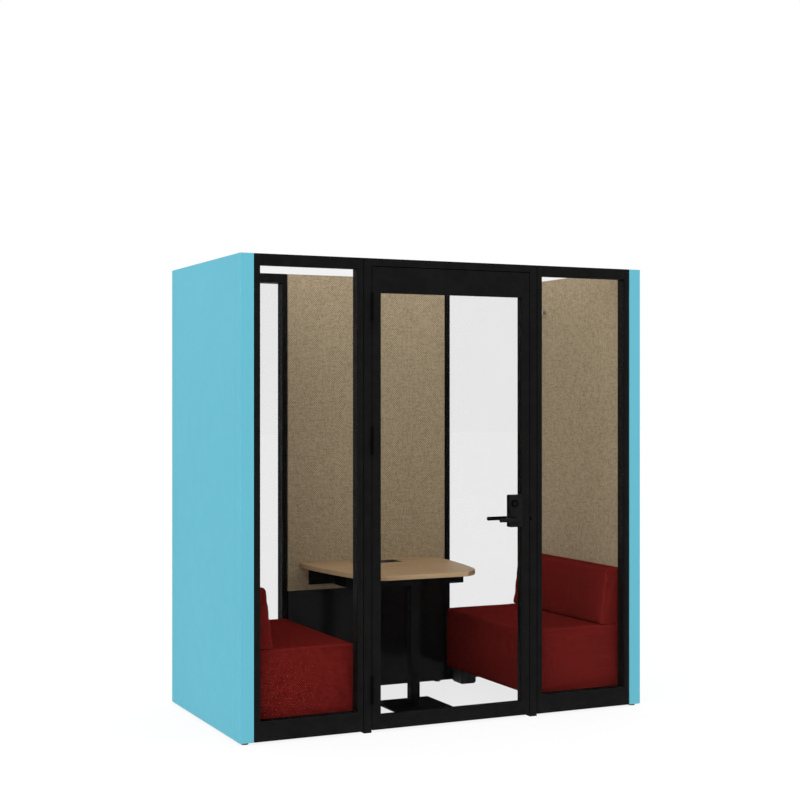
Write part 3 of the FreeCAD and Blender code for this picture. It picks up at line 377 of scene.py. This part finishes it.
def powder_black(name, base, worn, roughness, specular, grain):
    """Black powder coat for frames, steel and hardware."""
    finish, tree, surface = new_finish(name)
    coat = use_group(tree, COAT, {"Grain Size": grain})
    rub = use_group(tree, RUB, {"Length": 0.06, "Amount": 0.5})["Rub"]
    dust = use_group(tree, DUST, {"Reach": 0.09, "Amount": 0.035})["Dust"]
    colour = colour_between(tree, coat["Gloss"], base, worn)
    colour = colour_between(tree, rub, colour, worn)
    colour = colour_between(tree, dust, colour, DUST_GREY)
    rough = between(tree, coat["Gloss"], roughness - 0.06, roughness + 0.06)
    set_inputs(tree, surface, Base_Color=colour, Roughness=rough, Specular_IOR_Level=specular,
               Normal=relief(tree, coat["Height"], depth=0.00003, strength=0.25))
    return finish


def woven(name, light, dark, pitch, slub_length, mottle, depth):
    """Woven cloth, with yarns, slubs and a soft mottle."""
    finish, tree, surface = new_finish(name)
    weave = use_group(tree, WEAVE, {"Yarn Pitch": pitch, "Slub Length": slub_length})
    drift = use_group(tree, DRIFT, {"Patch Size": mottle})["Drift"]
    shade = between(tree, 0.45, weave["Over"], weave["Slub"])
    shade = between(tree, 0.25, shade, drift)
    shade = between(tree, 0.20, shade, weave["Yarn"])
    colour = colour_between(tree, shade, dark, light)
    rough = between(tree, weave["Yarn"], 0.95, 0.82)
    set_inputs(tree, surface, Base_Color=colour, Roughness=rough, Specular_IOR_Level=0.0, Sheen_Weight=0.05,
               Sheen_Roughness=0.5, Sheen_Tint=light, Normal=relief(tree, weave["Height"], depth, strength=0.7))
    return finish


def wood(name, light, dark, band_width):
    """Pale laminate with a printed wood figure and fine pores."""
    finish, tree, surface = new_finish(name)
    figure = use_group(tree, FIGURE, {"Band Width": band_width})
    rub = use_group(tree, RUB, {"Length": 0.10, "Amount": 0.4})["Rub"]
    tone = between(tree, 0.45, figure["Band"], figure["Streak"])
    colour = colour_between(tree, tone, dark, light)
    colour = colour_between(tree, arithmetic(tree, "MULTIPLY", figure["Pore"], 0.22), colour, dark)
    rough = between(tree, figure["Streak"], 0.42, 0.50)
    rough = arithmetic(tree, "ADD", rough, arithmetic(tree, "MULTIPLY", rub, 0.15))
    set_inputs(tree, surface, Base_Color=colour, Roughness=rough, Specular_IOR_Level=0.12,
               Normal=relief(tree, figure["Pore"], depth=-0.00006, strength=0.6))
    return finish


def board_core():
    """Dark stained edge of the boards between the skins."""
    finish, tree, surface = new_finish("stained_board")
    figure = use_group(tree, FIGURE, {"Band Width": 0.02})
    drift = use_group(tree, DRIFT, {"Patch Size": 0.05})["Drift"]
    tone = between(tree, 0.5, figure["Streak"], drift)
    colour = colour_between(tree, tone, CORE_DARK, CORE_LIGHT)
    set_inputs(tree, surface, Base_Color=colour, Roughness=between(tree, drift, 0.7, 0.85),
               Specular_IOR_Level=0.2, Normal=relief(tree, figure["Streak"], depth=0.0002, strength=0.5))
    return finish


def gloss_tile():
    """Polished black panel with faint wipe marks."""
    finish, tree, surface = new_finish("gloss_black_tile")
    drift = use_group(tree, DRIFT, {"Patch Size": 0.5})["Drift"]
    coat = use_group(tree, COAT, {"Grain Size": 0.02})
    rub = use_group(tree, RUB, {"Length": 0.15, "Amount": 0.5})["Rub"]
    colour = colour_between(tree, drift, TILE_DARK, TILE_LIGHT)
    rough = arithmetic(tree, "MULTIPLY_ADD", rub, 0.12, between(tree, coat["Gloss"], 0.09, 0.14))
    set_inputs(tree, surface, Base_Color=colour, Roughness=rough, Specular_IOR_Level=0.07,
               Normal=relief(tree, coat["Height"], depth=0.00005, strength=0.3))
    return finish


def clear_glass():
    """Clear glass with faint smears; light for shadows goes straight through."""
    finish, tree, surface = new_finish("clear_glass")
    rub = use_group(tree, RUB, {"Length": 0.2, "Amount": 0.6})["Rub"]
    drift = use_group(tree, DRIFT, {"Patch Size": 0.35})["Drift"]
    tint = colour_between(tree, drift, GLASS_TINT, GLASS_TINT_PALE)
    rough = arithmetic(tree, "MULTIPLY", rub, 0.012)
    set_inputs(tree, surface, Base_Color=tint, Roughness=rough, IOR=GLASS_IOR, Transmission_Weight=1.0,
               Specular_Tint=GLASS_MIRROR)
    path = add_node(tree, "ShaderNodeLightPath")
    through = add_node(tree, "ShaderNodeBsdfTransparent", {"Color": GLASS_SHADOW})
    mixed = add_node(tree, "ShaderNodeMixShader", {0: path.outputs["Is Shadow Ray"],
                                                   1: surface.outputs["BSDF"], 2: through.outputs["BSDF"]})
    output = [made for made in tree.nodes if made.type == "OUTPUT_MATERIAL"][0]
    tree.links.new(mixed.outputs["Shader"], output.inputs["Surface"])
    return finish


def brushed_steel():
    """Bright steel, brushed along its height."""
    finish, tree, surface = new_finish("brushed_steel")
    place = object_place(tree)
    lines = noise(tree, stretched(tree, place, 900.0, 900.0, 25.0), 1.0, 3.0, 0.6)
    rub = use_group(tree, RUB, {"Length": 0.01, "Amount": 0.6})["Rub"]
    colour = colour_between(tree, lines, STEEL_DARK, STEEL_LIGHT)
    rough = between(tree, lines, 0.26, 0.42)
    rough = arithmetic(tree, "ADD", rough, arithmetic(tree, "MULTIPLY", rub, 0.2))
    set_inputs(tree, surface, Base_Color=colour, Roughness=rough, Metallic=1.0,
               Normal=relief(tree, lines, depth=0.00002, strength=0.4))
    return finish


def moulded(name, base, light, roughness, grain):
    """Moulded plastic or rubber with a fine spark-eroded grain."""
    finish, tree, surface = new_finish(name)
    coat = use_group(tree, COAT, {"Grain Size": grain})
    drift = use_group(tree, DRIFT, {"Patch Size": 0.06})["Drift"]
    dust = use_group(tree, DUST, {"Reach": 0.06, "Amount": 0.04})["Dust"]
    colour = colour_between(tree, drift, base, light)
    colour = colour_between(tree, dust, colour, DUST_GREY)
    rough = between(tree, coat["Gloss"], roughness - 0.08, roughness + 0.08)
    set_inputs(tree, surface, Base_Color=colour, Roughness=rough, Specular_IOR_Level=0.2,
               Normal=relief(tree, coat["Height"], depth=0.00004, strength=0.25))
    return finish


FINISHES = {
    "blue_laminate": lacquer("blue_lacquer", BLUE, BLUE_DEEP, roughness=0.55, specular=0.04),
    "taupe_fabric": woven("taupe_cloth", TAUPE_LIGHT, TAUPE_DARK,
                          pitch=0.0066, slub_length=1.2, mottle=0.012, depth=0.0010),
    "core_board": board_core(),
    "gloss_black": gloss_tile(),
    "black_frame": powder_black("frame_coat", FRAME_BLACK, FRAME_WORN,
                                roughness=0.55, specular=0.05, grain=0.0011),
    "clear_glass": clear_glass(),
    "black_rubber": moulded("black_rubber", RUBBER_BLACK, RUBBER_GREY, roughness=0.75, grain=0.0014),
    "black_hardware": powder_black("hardware_coat", HARDWARE_BLACK, FRAME_WORN,
                                   roughness=0.42, specular=0.08, grain=0.0008),
    "bright_steel": brushed_steel(),
    "black_steel": powder_black("steel_coat", FRAME_BLACK, FRAME_WORN,
                                roughness=0.60, specular=0.05, grain=0.0013),
    "wood_laminate": wood("pale_wood", WOOD_LIGHT, WOOD_DARK, band_width=0.045),
    "black_plastic": moulded("black_plastic", PLASTIC_BLACK, PLASTIC_GREY, roughness=0.6, grain=0.0010),
    "red_fabric": woven("red_cloth", RED_LIGHT, RED_DARK,
                        pitch=0.0058, slub_length=1.4, mottle=0.012, depth=0.0008),
}

# Finishes that only some pieces of a slot have
# Painted shade: a near-black coat, darker than the black hardware, for the shade in the hinge recesses and
# round the key plug
HINGE_AND_CYLINDER_SHADE = powder_black("hinge_shade_coat", HINGE_PAINTED_SHADE, HINGE_PAINTED_SHADE_WORN, roughness=0.5, specular=0.02, grain=0.0008)
# Painted shade: rubber darker than its own black, for the shade in the recessed joints and seals
SHADE_DARK_RUBBER = moulded("painted_shade_rubber", RECESS_PAINTED_SHADE, RECESS_PAINTED_SHADE_PALER, roughness=0.85, grain=0.0014)
THREAD = woven("red_thread", RED_THREAD, RED_LIGHT, pitch=0.0007, slub_length=5.0, mottle=0.02, depth=0.0002)


def paint(piece, slot):
    piece.data.materials.clear()
    piece.data.materials.append(FINISHES[slot])


for subpart in frame["record"]["subparts"]:
    paint(nodes[subpart["node"]], subpart["material_slot"])
# The hinges and the key cylinder take the painted-shade coat
for shade_coat_piece in ("hinge_frame_leaves", "hinge_door_leaves", "hinge_pins", "key_cylinder"):
    nodes[shade_coat_piece].data.materials[0] = HINGE_AND_CYLINDER_SHADE
# The joint strips and door seals take the painted-shade rubber
for shade_rubber_piece in ("joint_strips", "door_seals"):
    nodes[shade_rubber_piece].data.materials[0] = SHADE_DARK_RUBBER


# Mesh helpers

def in_scene(name, data):
    made = bpy.data.objects.new(name, data)
    bpy.context.scene.collection.objects.link(made)
    return made


def new_piece(name, mesh, slot, body="pod"):
    """Puts a finished mesh in the scene, with its finish, on the body that it moves with."""
    piece = in_scene(name, mesh)
    paint(piece, slot)
    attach(piece, body)
    return piece


def bridge(shape, rings):
    """Joins each ring of vertices to the next one with faces."""
    for ring, next_ring in zip(rings, rings[1:]):
        for side, corner in enumerate(ring):
            beside = (side + 1) % len(ring)
            shape.faces.new((corner, ring[beside], next_ring[beside], next_ring[side]))


def mesh_of(name, shape):
    """A smooth mesh of the shape, which is used up."""
    bmesh.ops.recalc_face_normals(shape, faces=shape.faces)
    mesh = bpy.data.meshes.new(name)
    shape.to_mesh(mesh)
    shape.free()
    for face in mesh.polygons:
        face.use_smooth = True
    return mesh


# Benches

BENCH_VOXEL = 0.010
CUSHION_SLACK = (0.002, 0.002, 0.0015)
CUSHION_SWELL = 0.005
SEWN_BAND = 0.024
SWELL_STEPS = 20
HELD_BAND = 0.012
CUSHION_PRESSURE = 4.0
SEAM_RADIUS = 0.0014
SEAM_STEP = 0.008
STITCH_LENGTH = 0.0055
STITCH_PITCH = 0.009
STITCH_RADIUS = 0.0008
STITCH_INSET = 0.008
WELD_DISTANCE = 0.00001
SAME_PLACE = 0.0005


def as_shaped(piece):
    """The piece's mesh as its modifiers leave it."""
    graph = bpy.context.evaluated_depsgraph_get()
    return bpy.data.meshes.new_from_object(piece.evaluated_get(graph))


def wall_foot(node):
    """Where a cushion rests: the wall behind it, its middle along the bench, and what is under it."""
    low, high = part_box(node)
    return Vector((high.x if low.x > 0 else low.x, (low.y + high.y) / 2, low.z))


def slack_cover(node):
    """A cushion's cover before it is filled: a little small, with an even mesh."""
    low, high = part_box(node)
    foot = wall_foot(node)
    mesh = nodes[node].data.copy()
    shape = bmesh.new()
    shape.from_mesh(mesh)
    bmesh.ops.remove_doubles(shape, verts=shape.verts, dist=WELD_DISTANCE)
    for axis, slack in enumerate(CUSHION_SLACK):
        share = 1 - slack / (high[axis] - low[axis])
        for vertex in shape.verts:
            vertex.co[axis] = foot[axis] + (vertex.co[axis] - foot[axis]) * share
    shape.to_mesh(mesh)
    shape.free()
    cover = in_scene(f"{node}_cover", mesh)
    even = cover.modifiers.new("even_mesh", "REMESH")
    even.mode = "VOXEL"
    even.voxel_size = BENCH_VOXEL
    mesh = as_shaped(cover)
    bpy.data.objects.remove(cover)
    return mesh


def filled_cover(node, sitting_on_it=None):
    """Fills a cover in a cloth simulation, held where it rests and where another cushion sits on it."""
    mesh = slack_cover(node)
    foot = wall_foot(node)
    cover = in_scene(f"{node}_filling", mesh)
    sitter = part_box(sitting_on_it)[0] if sitting_on_it else None
    held = []
    for vertex in mesh.vertices:
        at_wall = abs(vertex.co.x - foot.x) < HELD_BAND
        at_base = vertex.co.z - foot.z < HELD_BAND
        covered = sitter is not None and vertex.co.x > sitter.x and vertex.co.z > sitter.z - 2 * HELD_BAND
        if at_wall or at_base or covered:
            held.append(vertex.index)
    cover.vertex_groups.new(name="held").add(held, 1.0, "REPLACE")
    cloth = cover.modifiers.new("filling", "CLOTH")
    cloth.settings.use_pressure = True
    cloth.settings.uniform_pressure_force = CUSHION_PRESSURE
    cloth.settings.vertex_group_mass = "held"
    cloth.settings.effector_weights.gravity = 0
    cloth.point_cache.frame_end = SWELL_STEPS
    for step in range(1, SWELL_STEPS + 1):
        bpy.context.scene.frame_set(step)
    swollen = as_shaped(cover)
    for vertex, before in zip(swollen.vertices, mesh.vertices):
        moved = vertex.co - before.co
        if moved.length > CUSHION_SWELL:
            vertex.co = before.co + moved.normalized() * CUSHION_SWELL
    bpy.context.scene.frame_set(1)
    bpy.data.objects.remove(cover)
    return swollen


def skin_of(mesh):
    return BVHTree.FromPolygons([vertex.co for vertex in mesh.vertices],
                                [face.vertices for face in mesh.polygons])


def sewn_spots(node):
    """Points along the edges where a cushion's cover is sewn or stapled: its end panels and its base."""
    low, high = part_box(node)
    foot = wall_foot(node)
    spots = []
    for end_y in (low.y, high.y):
        edge = end_panel_edge(node, end_y)
        front = min(edge, key=lambda spot: spot[1])
        edge = evenly(edge, SEAM_STEP) + evenly([front, (foot.x, foot.z)], SEAM_STEP)
        spots += [Vector((x, end_y, z)) for x, z in edge]
    spots += evenly([(front[0], low.y, front[1]), (front[0], high.y, front[1])], SEAM_STEP)
    return spots


def drawn_tight(node, mesh):
    """Draws a filled cover out to its cut shape along its sewn edges, so that they stay crisp."""
    cut_shape = skin_of(nodes[node].data)
    spots = sewn_spots(node)
    edges = KDTree(len(spots))
    for index, spot in enumerate(spots):
        edges.insert(spot, index)
    edges.balance()
    for vertex in mesh.vertices:
        away = edges.find(vertex.co)[2] / SEWN_BAND
        if away < 1:
            share = 1 - away * away * (3 - 2 * away)
            vertex.co = vertex.co.lerp(cut_shape.find_nearest(vertex.co)[0], share)
    return mesh


def mirrored(mesh):
    twin = mesh.copy()
    for vertex in twin.vertices:
        vertex.co.x = -vertex.co.x
    twin.flip_normals()
    return twin


def add_cushion(node, mesh):
    """Shows a filled cushion in place of its plain solid."""
    for face in mesh.polygons:
        face.use_smooth = True
    cushion = new_piece(f"{node}_cushion", mesh, "red_fabric")
    finer = cushion.modifiers.new("finer", "SUBSURF")
    finer.levels = 1
    finer.render_levels = 1
    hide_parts(node)
    return cushion


def end_panel_edge(node, end_y):
    """The edge of a cushion's end panel, from its front foot over the top to the wall, as X and Z."""
    low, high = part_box(node)
    foot = wall_foot(node)
    middle = (low + high) / 2
    edge = {(round(vertex.co.x, 5), round(vertex.co.z, 5))
            for vertex in nodes[node].data.vertices if abs(vertex.co.y - end_y) < SAME_PLACE}
    edge = [(x, z) for x, z in edge if abs(x - foot.x) > SAME_PLACE or z - foot.z > SAME_PLACE]
    first = math.atan2(foot.z - middle.z, foot.x - middle.x)

    def turn_from_foot(spot):
        return (math.atan2(spot[1] - middle.z, spot[0] - middle.x) - first) % math.tau

    return sorted(edge, key=turn_from_foot)


def evenly(spots, step):
    """Points along a line of spots, about one step apart."""
    points = []
    for start, stop in zip(spots, spots[1:]):
        start, stop = Vector(start), Vector(stop)
        count = max(1, round((stop - start).length / step))
        points += [start.lerp(stop, index / count) for index in range(count)]
    return points + [Vector(spots[-1])]


def add_tube(shape, path, radius, sides=6):
    """A thin round welt along a path that lies in an upright plane along X."""
    rings = []
    for index, place in enumerate(path):
        ahead = (path[min(index + 1, len(path) - 1)] - path[max(index - 1, 0)]).normalized()
        across = Vector((0, 1, 0))
        up = ahead.cross(across).normalized()
        angles = [math.tau * side / sides for side in range(sides)]
        rings.append([shape.verts.new(place + (across * math.cos(angle) + up * math.sin(angle)) * radius)
                      for angle in angles])
    bridge(shape, rings)


def add_stitch(shape, start, stop):
    """One stitch: a thread that is thickest in its middle."""
    side = Vector((0, STITCH_RADIUS, 0))
    up = (stop - start).cross(side).normalized() * STITCH_RADIUS
    middle = (start + stop) / 2
    ring = [shape.verts.new(middle + offset) for offset in (up, side, -up, -side)]
    for tip in (shape.verts.new(start), shape.verts.new(stop)):
        for index, spot in enumerate(ring):
            shape.faces.new((tip, spot, ring[(index + 1) % 4]))


def sew_bench(word, cushions):
    """End-panel seams with a row of stitches beside each, laid on the filled cushions."""
    seams, stitches = bmesh.new(), bmesh.new()
    for node, cushion in cushions.items():
        skin = skin_of(as_shaped(cushion))
        low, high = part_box(node)
        for end_y, inward in ((low.y, 1), (high.y, -1)):
            edge = end_panel_edge(node, end_y)
            path = [skin.find_nearest((x, end_y, z))[0] for x, z in evenly(edge, SEAM_STEP)]
            add_tube(seams, path, SEAM_RADIUS)
            row_y = end_y + STITCH_INSET * inward
            row = [skin.find_nearest((x, row_y, z))[0] for x, z in evenly(edge, STITCH_PITCH)]
            for start, following in zip(row, row[1:]):
                span = following - start
                if span.length > STITCH_LENGTH:
                    add_stitch(stitches, start, start + span.normalized() * STITCH_LENGTH)
    for piece_name, shape in ((f"bench_{word}_seams", seams), (f"bench_{word}_stitches", stitches)):
        piece = new_piece(piece_name, mesh_of(piece_name, shape), "red_fabric")
        piece.data.materials[0] = THREAD


def add_benches():
    """Fills the right bench and shows it, and its mirror image as the left one."""
    seat = drawn_tight("bench_right_seat", filled_cover("bench_right_seat", "bench_right_back"))
    back = drawn_tight("bench_right_back", filled_cover("bench_right_back"))
    for word, seat_mesh, back_mesh in (("right", seat, back), ("left", mirrored(seat), mirrored(back))):
        seat_node, back_node = f"bench_{word}_seat", f"bench_{word}_back"
        sew_bench(word, {seat_node: add_cushion(seat_node, seat_mesh),
                         back_node: add_cushion(back_node, back_mesh)})


add_benches()


# Screws, frame joints, socket inserts and the lid's rest

DOMED_RISE = 0.0007
FLUSH_RISE = 0.0002
SCREW_SIDES = 24
WORN_EDGE_SHARE = 0.03
# Edges of a screw head from outside in: share of its radius, share of its rise, and whether it has six sides
SCREW_EDGES = ((1, 0, False), (1, 0.4, False), (0.9, 0.85, False),
               (0.7, 1, False), (0.5, 1, True), (0.47, 0, True))
STRIKE_SCREW_RADIUS = 0.0042
STRIKE_SCREW_SPREAD = 0.016
CASE_SCREW_RADIUS = 0.0045
CASE_SCREW_MARGIN = 0.014
RAIL_SCREW_RADIUS = 0.0065
RAIL_SCREW_SHARES = (-0.85, -0.35, 0.35, 0.85)
RAIL_FLANGE = 0.004


def add_screw(shape, place, outward, radius, rise):
    """A screw head, domed or nearly flush, with a six-sided socket."""
    turn = outward.to_track_quat("Z", "Y").to_matrix()

    def ring(width, height, six_sided):
        spots = []
        for side in range(SCREW_SIDES):
            angle = math.tau * side / SCREW_SIDES
            reach = width
            if six_sided:
                reach *= math.cos(math.pi / 6) / math.cos(angle % (math.pi / 3) - math.pi / 6)
            spot = Vector((reach * math.cos(angle), reach * math.sin(angle), height))
            spots.append(shape.verts.new(place + turn @ spot))
        return spots

    rings = [ring(radius * out, rise * up, six_sided) for out, up, six_sided in SCREW_EDGES]
    bridge(shape, rings)
    shape.faces.new(rings[-1])


def add_screws(name, spots, outward, radius, slot, body, rise=DOMED_RISE):
    shape = bmesh.new()
    for spot in spots:
        add_screw(shape, Vector(spot), Vector(outward), radius, rise)
    piece = new_piece(name, mesh_of(name, shape), slot, body)
    rounded = piece.modifiers.new("worn_edges", "BEVEL")
    rounded.width = radius * WORN_EDGE_SHARE
    rounded.limit_method = "ANGLE"


def add_fixings():
    """Screws in the strike plate, between its bolts, in the lock case and in the table's wall rail."""
    low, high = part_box("strike_plate")
    middle = (low + high) / 2
    spots = [(low.x, middle.y, middle.z + STRIKE_SCREW_SPREAD * end) for end in (LEFT, RIGHT)]
    add_screws("strike_plate_screws", spots, (-1, 0, 0), STRIKE_SCREW_RADIUS, "black_hardware", "pod")
    low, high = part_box("lock_case")
    edge_x = high.x - CASE_SCREW_MARGIN
    spots = [(edge_x, high.y, height) for height in (low.z + CASE_SCREW_MARGIN, high.z - CASE_SCREW_MARGIN)]
    add_screws("lock_case_screws", spots, (0, 1, 0), CASE_SCREW_RADIUS, "black_hardware", "door")
    low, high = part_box("table_wall_rail")
    middle_z = (low.z + high.z) / 2
    spread = (high.x - low.x) / 2
    spots = [(spread * share, high.y - RAIL_FLANGE, middle_z) for share in RAIL_SCREW_SHARES]
    add_screws("wall_rail_screws", spots, (0, -1, 0), RAIL_SCREW_RADIUS, "black_steel", "pod")


add_fixings()

LEAF_THICKNESS = 0.0016
HINGES_APART = 0.2
HINGE_SCREW_RADIUS = 0.0036
# Height over the hinge's foot, and distance behind the door's front
HINGE_SCREW_SPOTS = ((0.022, 0.020), (0.069, 0.010), (0.116, 0.020))


def hinge_feet(node):
    """The foot of each hinge in a node that holds several."""
    heights = sorted(vertex.co.z for vertex in nodes[node].data.vertices)
    later_feet = [upper for lower, upper in zip(heights, heights[1:]) if upper - lower > HINGES_APART]
    return heights[:1] + later_feet


def add_hinge_screws():
    """Countersunk screws in the hinge leaves, seen once the door is open."""
    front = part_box("door_stiles")[0].y
    post_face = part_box("door_seals")[0].x + LEAF_THICKNESS
    door_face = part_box("door_stiles")[0].x - LEAF_THICKNESS
    for word, body, face_x, outward in (("frame", "pod", post_face, 1), ("door", "door", door_face, -1)):
        spots = [(face_x, front + into, foot + up) for foot in hinge_feet(f"hinge_{word}_leaves")
                 for up, into in HINGE_SCREW_SPOTS]
        add_screws(f"hinge_{word}_screws", spots, (outward, 0, 0), HINGE_SCREW_RADIUS, "black_hardware", body,
                   FLUSH_RISE)


add_hinge_screws()

WINDOW_STILE = 0.027
GLASS_BITE = 0.010
JOINT_WIDTH = 0.0010
JOINT_PROUD = 0.00012


def add_block(shape, low, high):
    corners = [shape.verts.new((x, y, z)) for x in (low[0], high[0]) for y in (low[1], high[1])
               for z in (low[2], high[2])]
    for side in ((0, 1, 3, 2), (4, 6, 7, 5), (0, 4, 5, 1), (2, 3, 7, 6), (0, 2, 6, 4), (1, 5, 7, 3)):
        shape.faces.new([corners[corner] for corner in side])


def add_frame_joints(shape, low, high, glass, joints):
    """Hairlines on both faces of a frame, where its rails butt against its stiles: thin dark strips painted as
    the shade in the joint's crack.
    """
    runs = ((low.z, glass[0].z + GLASS_BITE), (glass[1].z - GLASS_BITE, high.z))
    for joint_x in joints:
        for face_y in (low.y, high.y):
            for foot, top in runs:
                add_block(shape, (joint_x - JOINT_WIDTH / 2, face_y - JOINT_PROUD, foot),
                          (joint_x + JOINT_WIDTH / 2, face_y + JOINT_PROUD, top))


def add_joint_lines():
    """Frame joints of the four windows and of the door, drawn as dark hairlines of painted shade."""
    lines = bmesh.new()
    for place in ("front", "rear"):
        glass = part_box(f"{place}_window_glass")
        for word in ("left", "right"):
            low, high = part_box(f"window_{place}_{word}_frame")
            add_frame_joints(lines, low, high, glass, (low.x + WINDOW_STILE, high.x - WINDOW_STILE))
    door_lines = bmesh.new()
    low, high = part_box("door_rails")
    add_frame_joints(door_lines, low, high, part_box("door_glass"), (low.x, high.x))
    for name, shape, body in (("window_joint_shade_lines", lines, "pod"), ("door_joint_shade_lines", door_lines, "door")):
        piece = new_piece(name, mesh_of(name, shape), "black_rubber", body)
        # The hairlines take the painted-shade rubber
        piece.data.materials[0] = SHADE_DARK_RUBBER


add_joint_lines()

SOCKET_PITCH = 0.052
SOCKET_SIDES = 32
# Edges of the round forms from outside in: radius and height
SOCKET_EDGES = ((0.0164, -0.0020), (0.0164, -0.0002), (0.0160, 0.0002),
                (0.0150, 0.0002), (0.0144, -0.0014), (0.0020, -0.0014))
CONTACT_EDGES = ((0.0036, 0.0), (0.0034, 0.0005), (0.0027, 0.0005), (0.0025, 0.0001))
CONTACT_REACH = 0.0092
CONTACT_HEIGHT = -0.0014
# Width, depth and corner of the square forms, and their edges from outside in: inset and height
PORT_PLATE = (0.0330, 0.0330, 0.0080)
PORT_PLATE_EDGES = ((0.0, -0.0020), (0.0, -0.0003), (0.0005, 0.0001), (0.0060, 0.0001))
PORT = (0.0135, 0.0062, 0.0012)
PORT_EDGES = ((0.0, 0.0), (0.0002, 0.0004), (0.0009, 0.0004), (0.0011, -0.0001))
PORT_REACH = 0.0065
PORT_HEIGHT = 0.0001


def round_edge(width, depth, corner):
    """A rounded outline about its middle; with a corner as large as its half width it is a circle."""
    spots = []
    for side in range(SOCKET_SIDES):
        angle = math.tau * (side + 0.5) / SOCKET_SIDES
        reach_x, reach_y = math.cos(angle), math.sin(angle)
        spots.append((math.copysign(width / 2 - corner, reach_x) + corner * reach_x,
                      math.copysign(depth / 2 - corner, reach_y) + corner * reach_y))
    return spots


def add_stack(shape, place, outlines):
    """A moulded face built of outlines at falling or rising heights, closed by the last one."""
    rings = [[shape.verts.new(place + Vector((x, y, height))) for x, y in outline]
             for outline, height in outlines]
    bridge(shape, rings)
    shape.faces.new(rings[-1])


def round_stack(edges):
    return [(round_edge(2 * radius, 2 * radius, radius), height) for radius, height in edges]


def square_stack(size, edges):
    width, depth, corner = size
    return [(round_edge(width - 2 * inset, depth - 2 * inset, corner), height) for inset, height in edges]


def add_sockets():
    """Two round power sockets, and two small charging ports between them, in the plate's openings."""
    low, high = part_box("power_socket_plate")
    middle = Vector(((low.x + high.x) / 2, (low.y + high.y) / 2, high.z))
    faces, contacts = bmesh.new(), bmesh.new()
    for side in (LEFT, RIGHT):
        place = middle + Vector((SOCKET_PITCH * side, 0, 0))
        add_stack(faces, place, round_stack(SOCKET_EDGES))
        for across in (LEFT, RIGHT):
            contact = place + Vector((CONTACT_REACH * across, 0, CONTACT_HEIGHT))
            add_stack(contacts, contact, round_stack(CONTACT_EDGES))
    add_stack(faces, middle, square_stack(PORT_PLATE, PORT_PLATE_EDGES))
    for along in (LEFT, RIGHT):
        port = middle + Vector((0, PORT_REACH * along, PORT_HEIGHT))
        add_stack(contacts, port, square_stack(PORT, PORT_EDGES))
    for name, shape, slot in (("socket_faces", faces, "black_plastic"),
                              ("socket_contacts", contacts, "bright_steel")):
        new_piece(name, mesh_of(name, shape), slot)


add_sockets()

LID_PIN_REACH = 0.0044
LID_PLAY = 0.0004
LID_REST_CLEAR = 0.00005
LID_REST_THICKNESS = 0.0004


def add_lid_rest():
    """A soft strip round the power module's mouth: the closed lid lies on it, and it hides the board's edge."""
    lid_low, lid_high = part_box("power_lid")
    mouth_low, mouth_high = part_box("power_socket_plate")
    top = lid_low.z - LID_REST_CLEAR
    base = top - LID_REST_THICKNESS
    outer = (lid_high.x - LID_PIN_REACH, lid_low.y - LID_PLAY, lid_high.y + LID_PLAY)
    inner = (mouth_high.x, mouth_low.y, mouth_high.y)
    strip = bmesh.new()
    rings = []
    for (half, front, rear), height in ((outer, base), (outer, top), (inner, top), (inner, base)):
        corners = ((-half, front), (half, front), (half, rear), (-half, rear))
        rings.append([strip.verts.new((x, y, height)) for x, y in corners])
    bridge(strip, rings + rings[:1])
    new_piece("lid_rest_strip", mesh_of("lid_rest_strip", strip), "black_rubber")


add_lid_rest()


# Camera, light and floor

def set_camera():
    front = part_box("corner_post_front_left")[0].y
    view = bpy.data.cameras.new("camera")
    view.lens = CAMERA_LENS
    view.sensor_width = SENSOR_WIDTH
    camera = in_scene("camera", view)
    camera.location = (CAMERA_SIDE, front - CAMERA_STAND_OFF, CAMERA_HEIGHT)
    camera.rotation_euler = (math.radians(90), 0, math.radians(CAMERA_TURN))
    bpy.context.scene.camera = camera


def seen_directly(tree):
    """One for rays from the eye, a reflection or a pane, and zero for light that falls on things."""
    path = add_node(tree, "ShaderNodeLightPath").outputs
    by_glass = arithmetic(tree, "MAXIMUM", path["Is Glossy Ray"], path["Is Transmission Ray"])
    return arithmetic(tree, "MAXIMUM", path["Is Camera Ray"], by_glass)


def set_sky():
    world = bpy.data.worlds.new("studio")
    world.use_nodes = True
    bpy.context.scene.world = world
    tree = world.node_tree
    tree.nodes.clear()
    strength = between(tree, seen_directly(tree), SKY_STRENGTH, 1.0)
    sky = add_node(tree, "ShaderNodeBackground", {"Color": (1, 1, 1, 1), "Strength": strength})
    output = tree.nodes.new("ShaderNodeOutputWorld")
    tree.links.new(sky.outputs["Background"], output.inputs["Surface"])


def set_lamp():
    light = bpy.data.lights.new("key", "AREA")
    light.energy = KEY_POWER
    light.size = KEY_SIZE
    lamp = in_scene("key", light)
    lamp.location = KEY_PLACE
    middle = (cad_box[0] + cad_box[1]) / 2
    lamp.rotation_euler = (middle - lamp.location).to_track_quat("-Z", "Y").to_euler()


def set_floor():
    """A wide pale floor that takes the pod's shadow and meets the white background."""
    mesh = bpy.data.meshes.new("floor")
    shape = bmesh.new()
    bmesh.ops.create_grid(shape, x_segments=FLOOR_SQUARES, y_segments=FLOOR_SQUARES, size=FLOOR_HALF_SIZE)
    shape.to_mesh(mesh)
    shape.free()
    floor = in_scene("floor", mesh)
    finish, tree, surface = new_finish("studio_floor")
    drift = use_group(tree, DRIFT, {"Patch Size": 3.0})["Drift"]
    pale = colour_between(tree, drift, FLOOR_PALE, FLOOR_PALER)
    glow = arithmetic(tree, "MULTIPLY", seen_directly(tree), FLOOR_GLOW)
    set_inputs(tree, surface, Base_Color=pale, Roughness=0.9, Specular_IOR_Level=0.0,
               Emission_Color=(1, 1, 1, 1), Emission_Strength=glow)
    mesh.materials.append(finish)


bpy.context.scene.view_settings.view_transform = "Standard"
set_camera()
set_sky()
set_lamp()
set_floor()
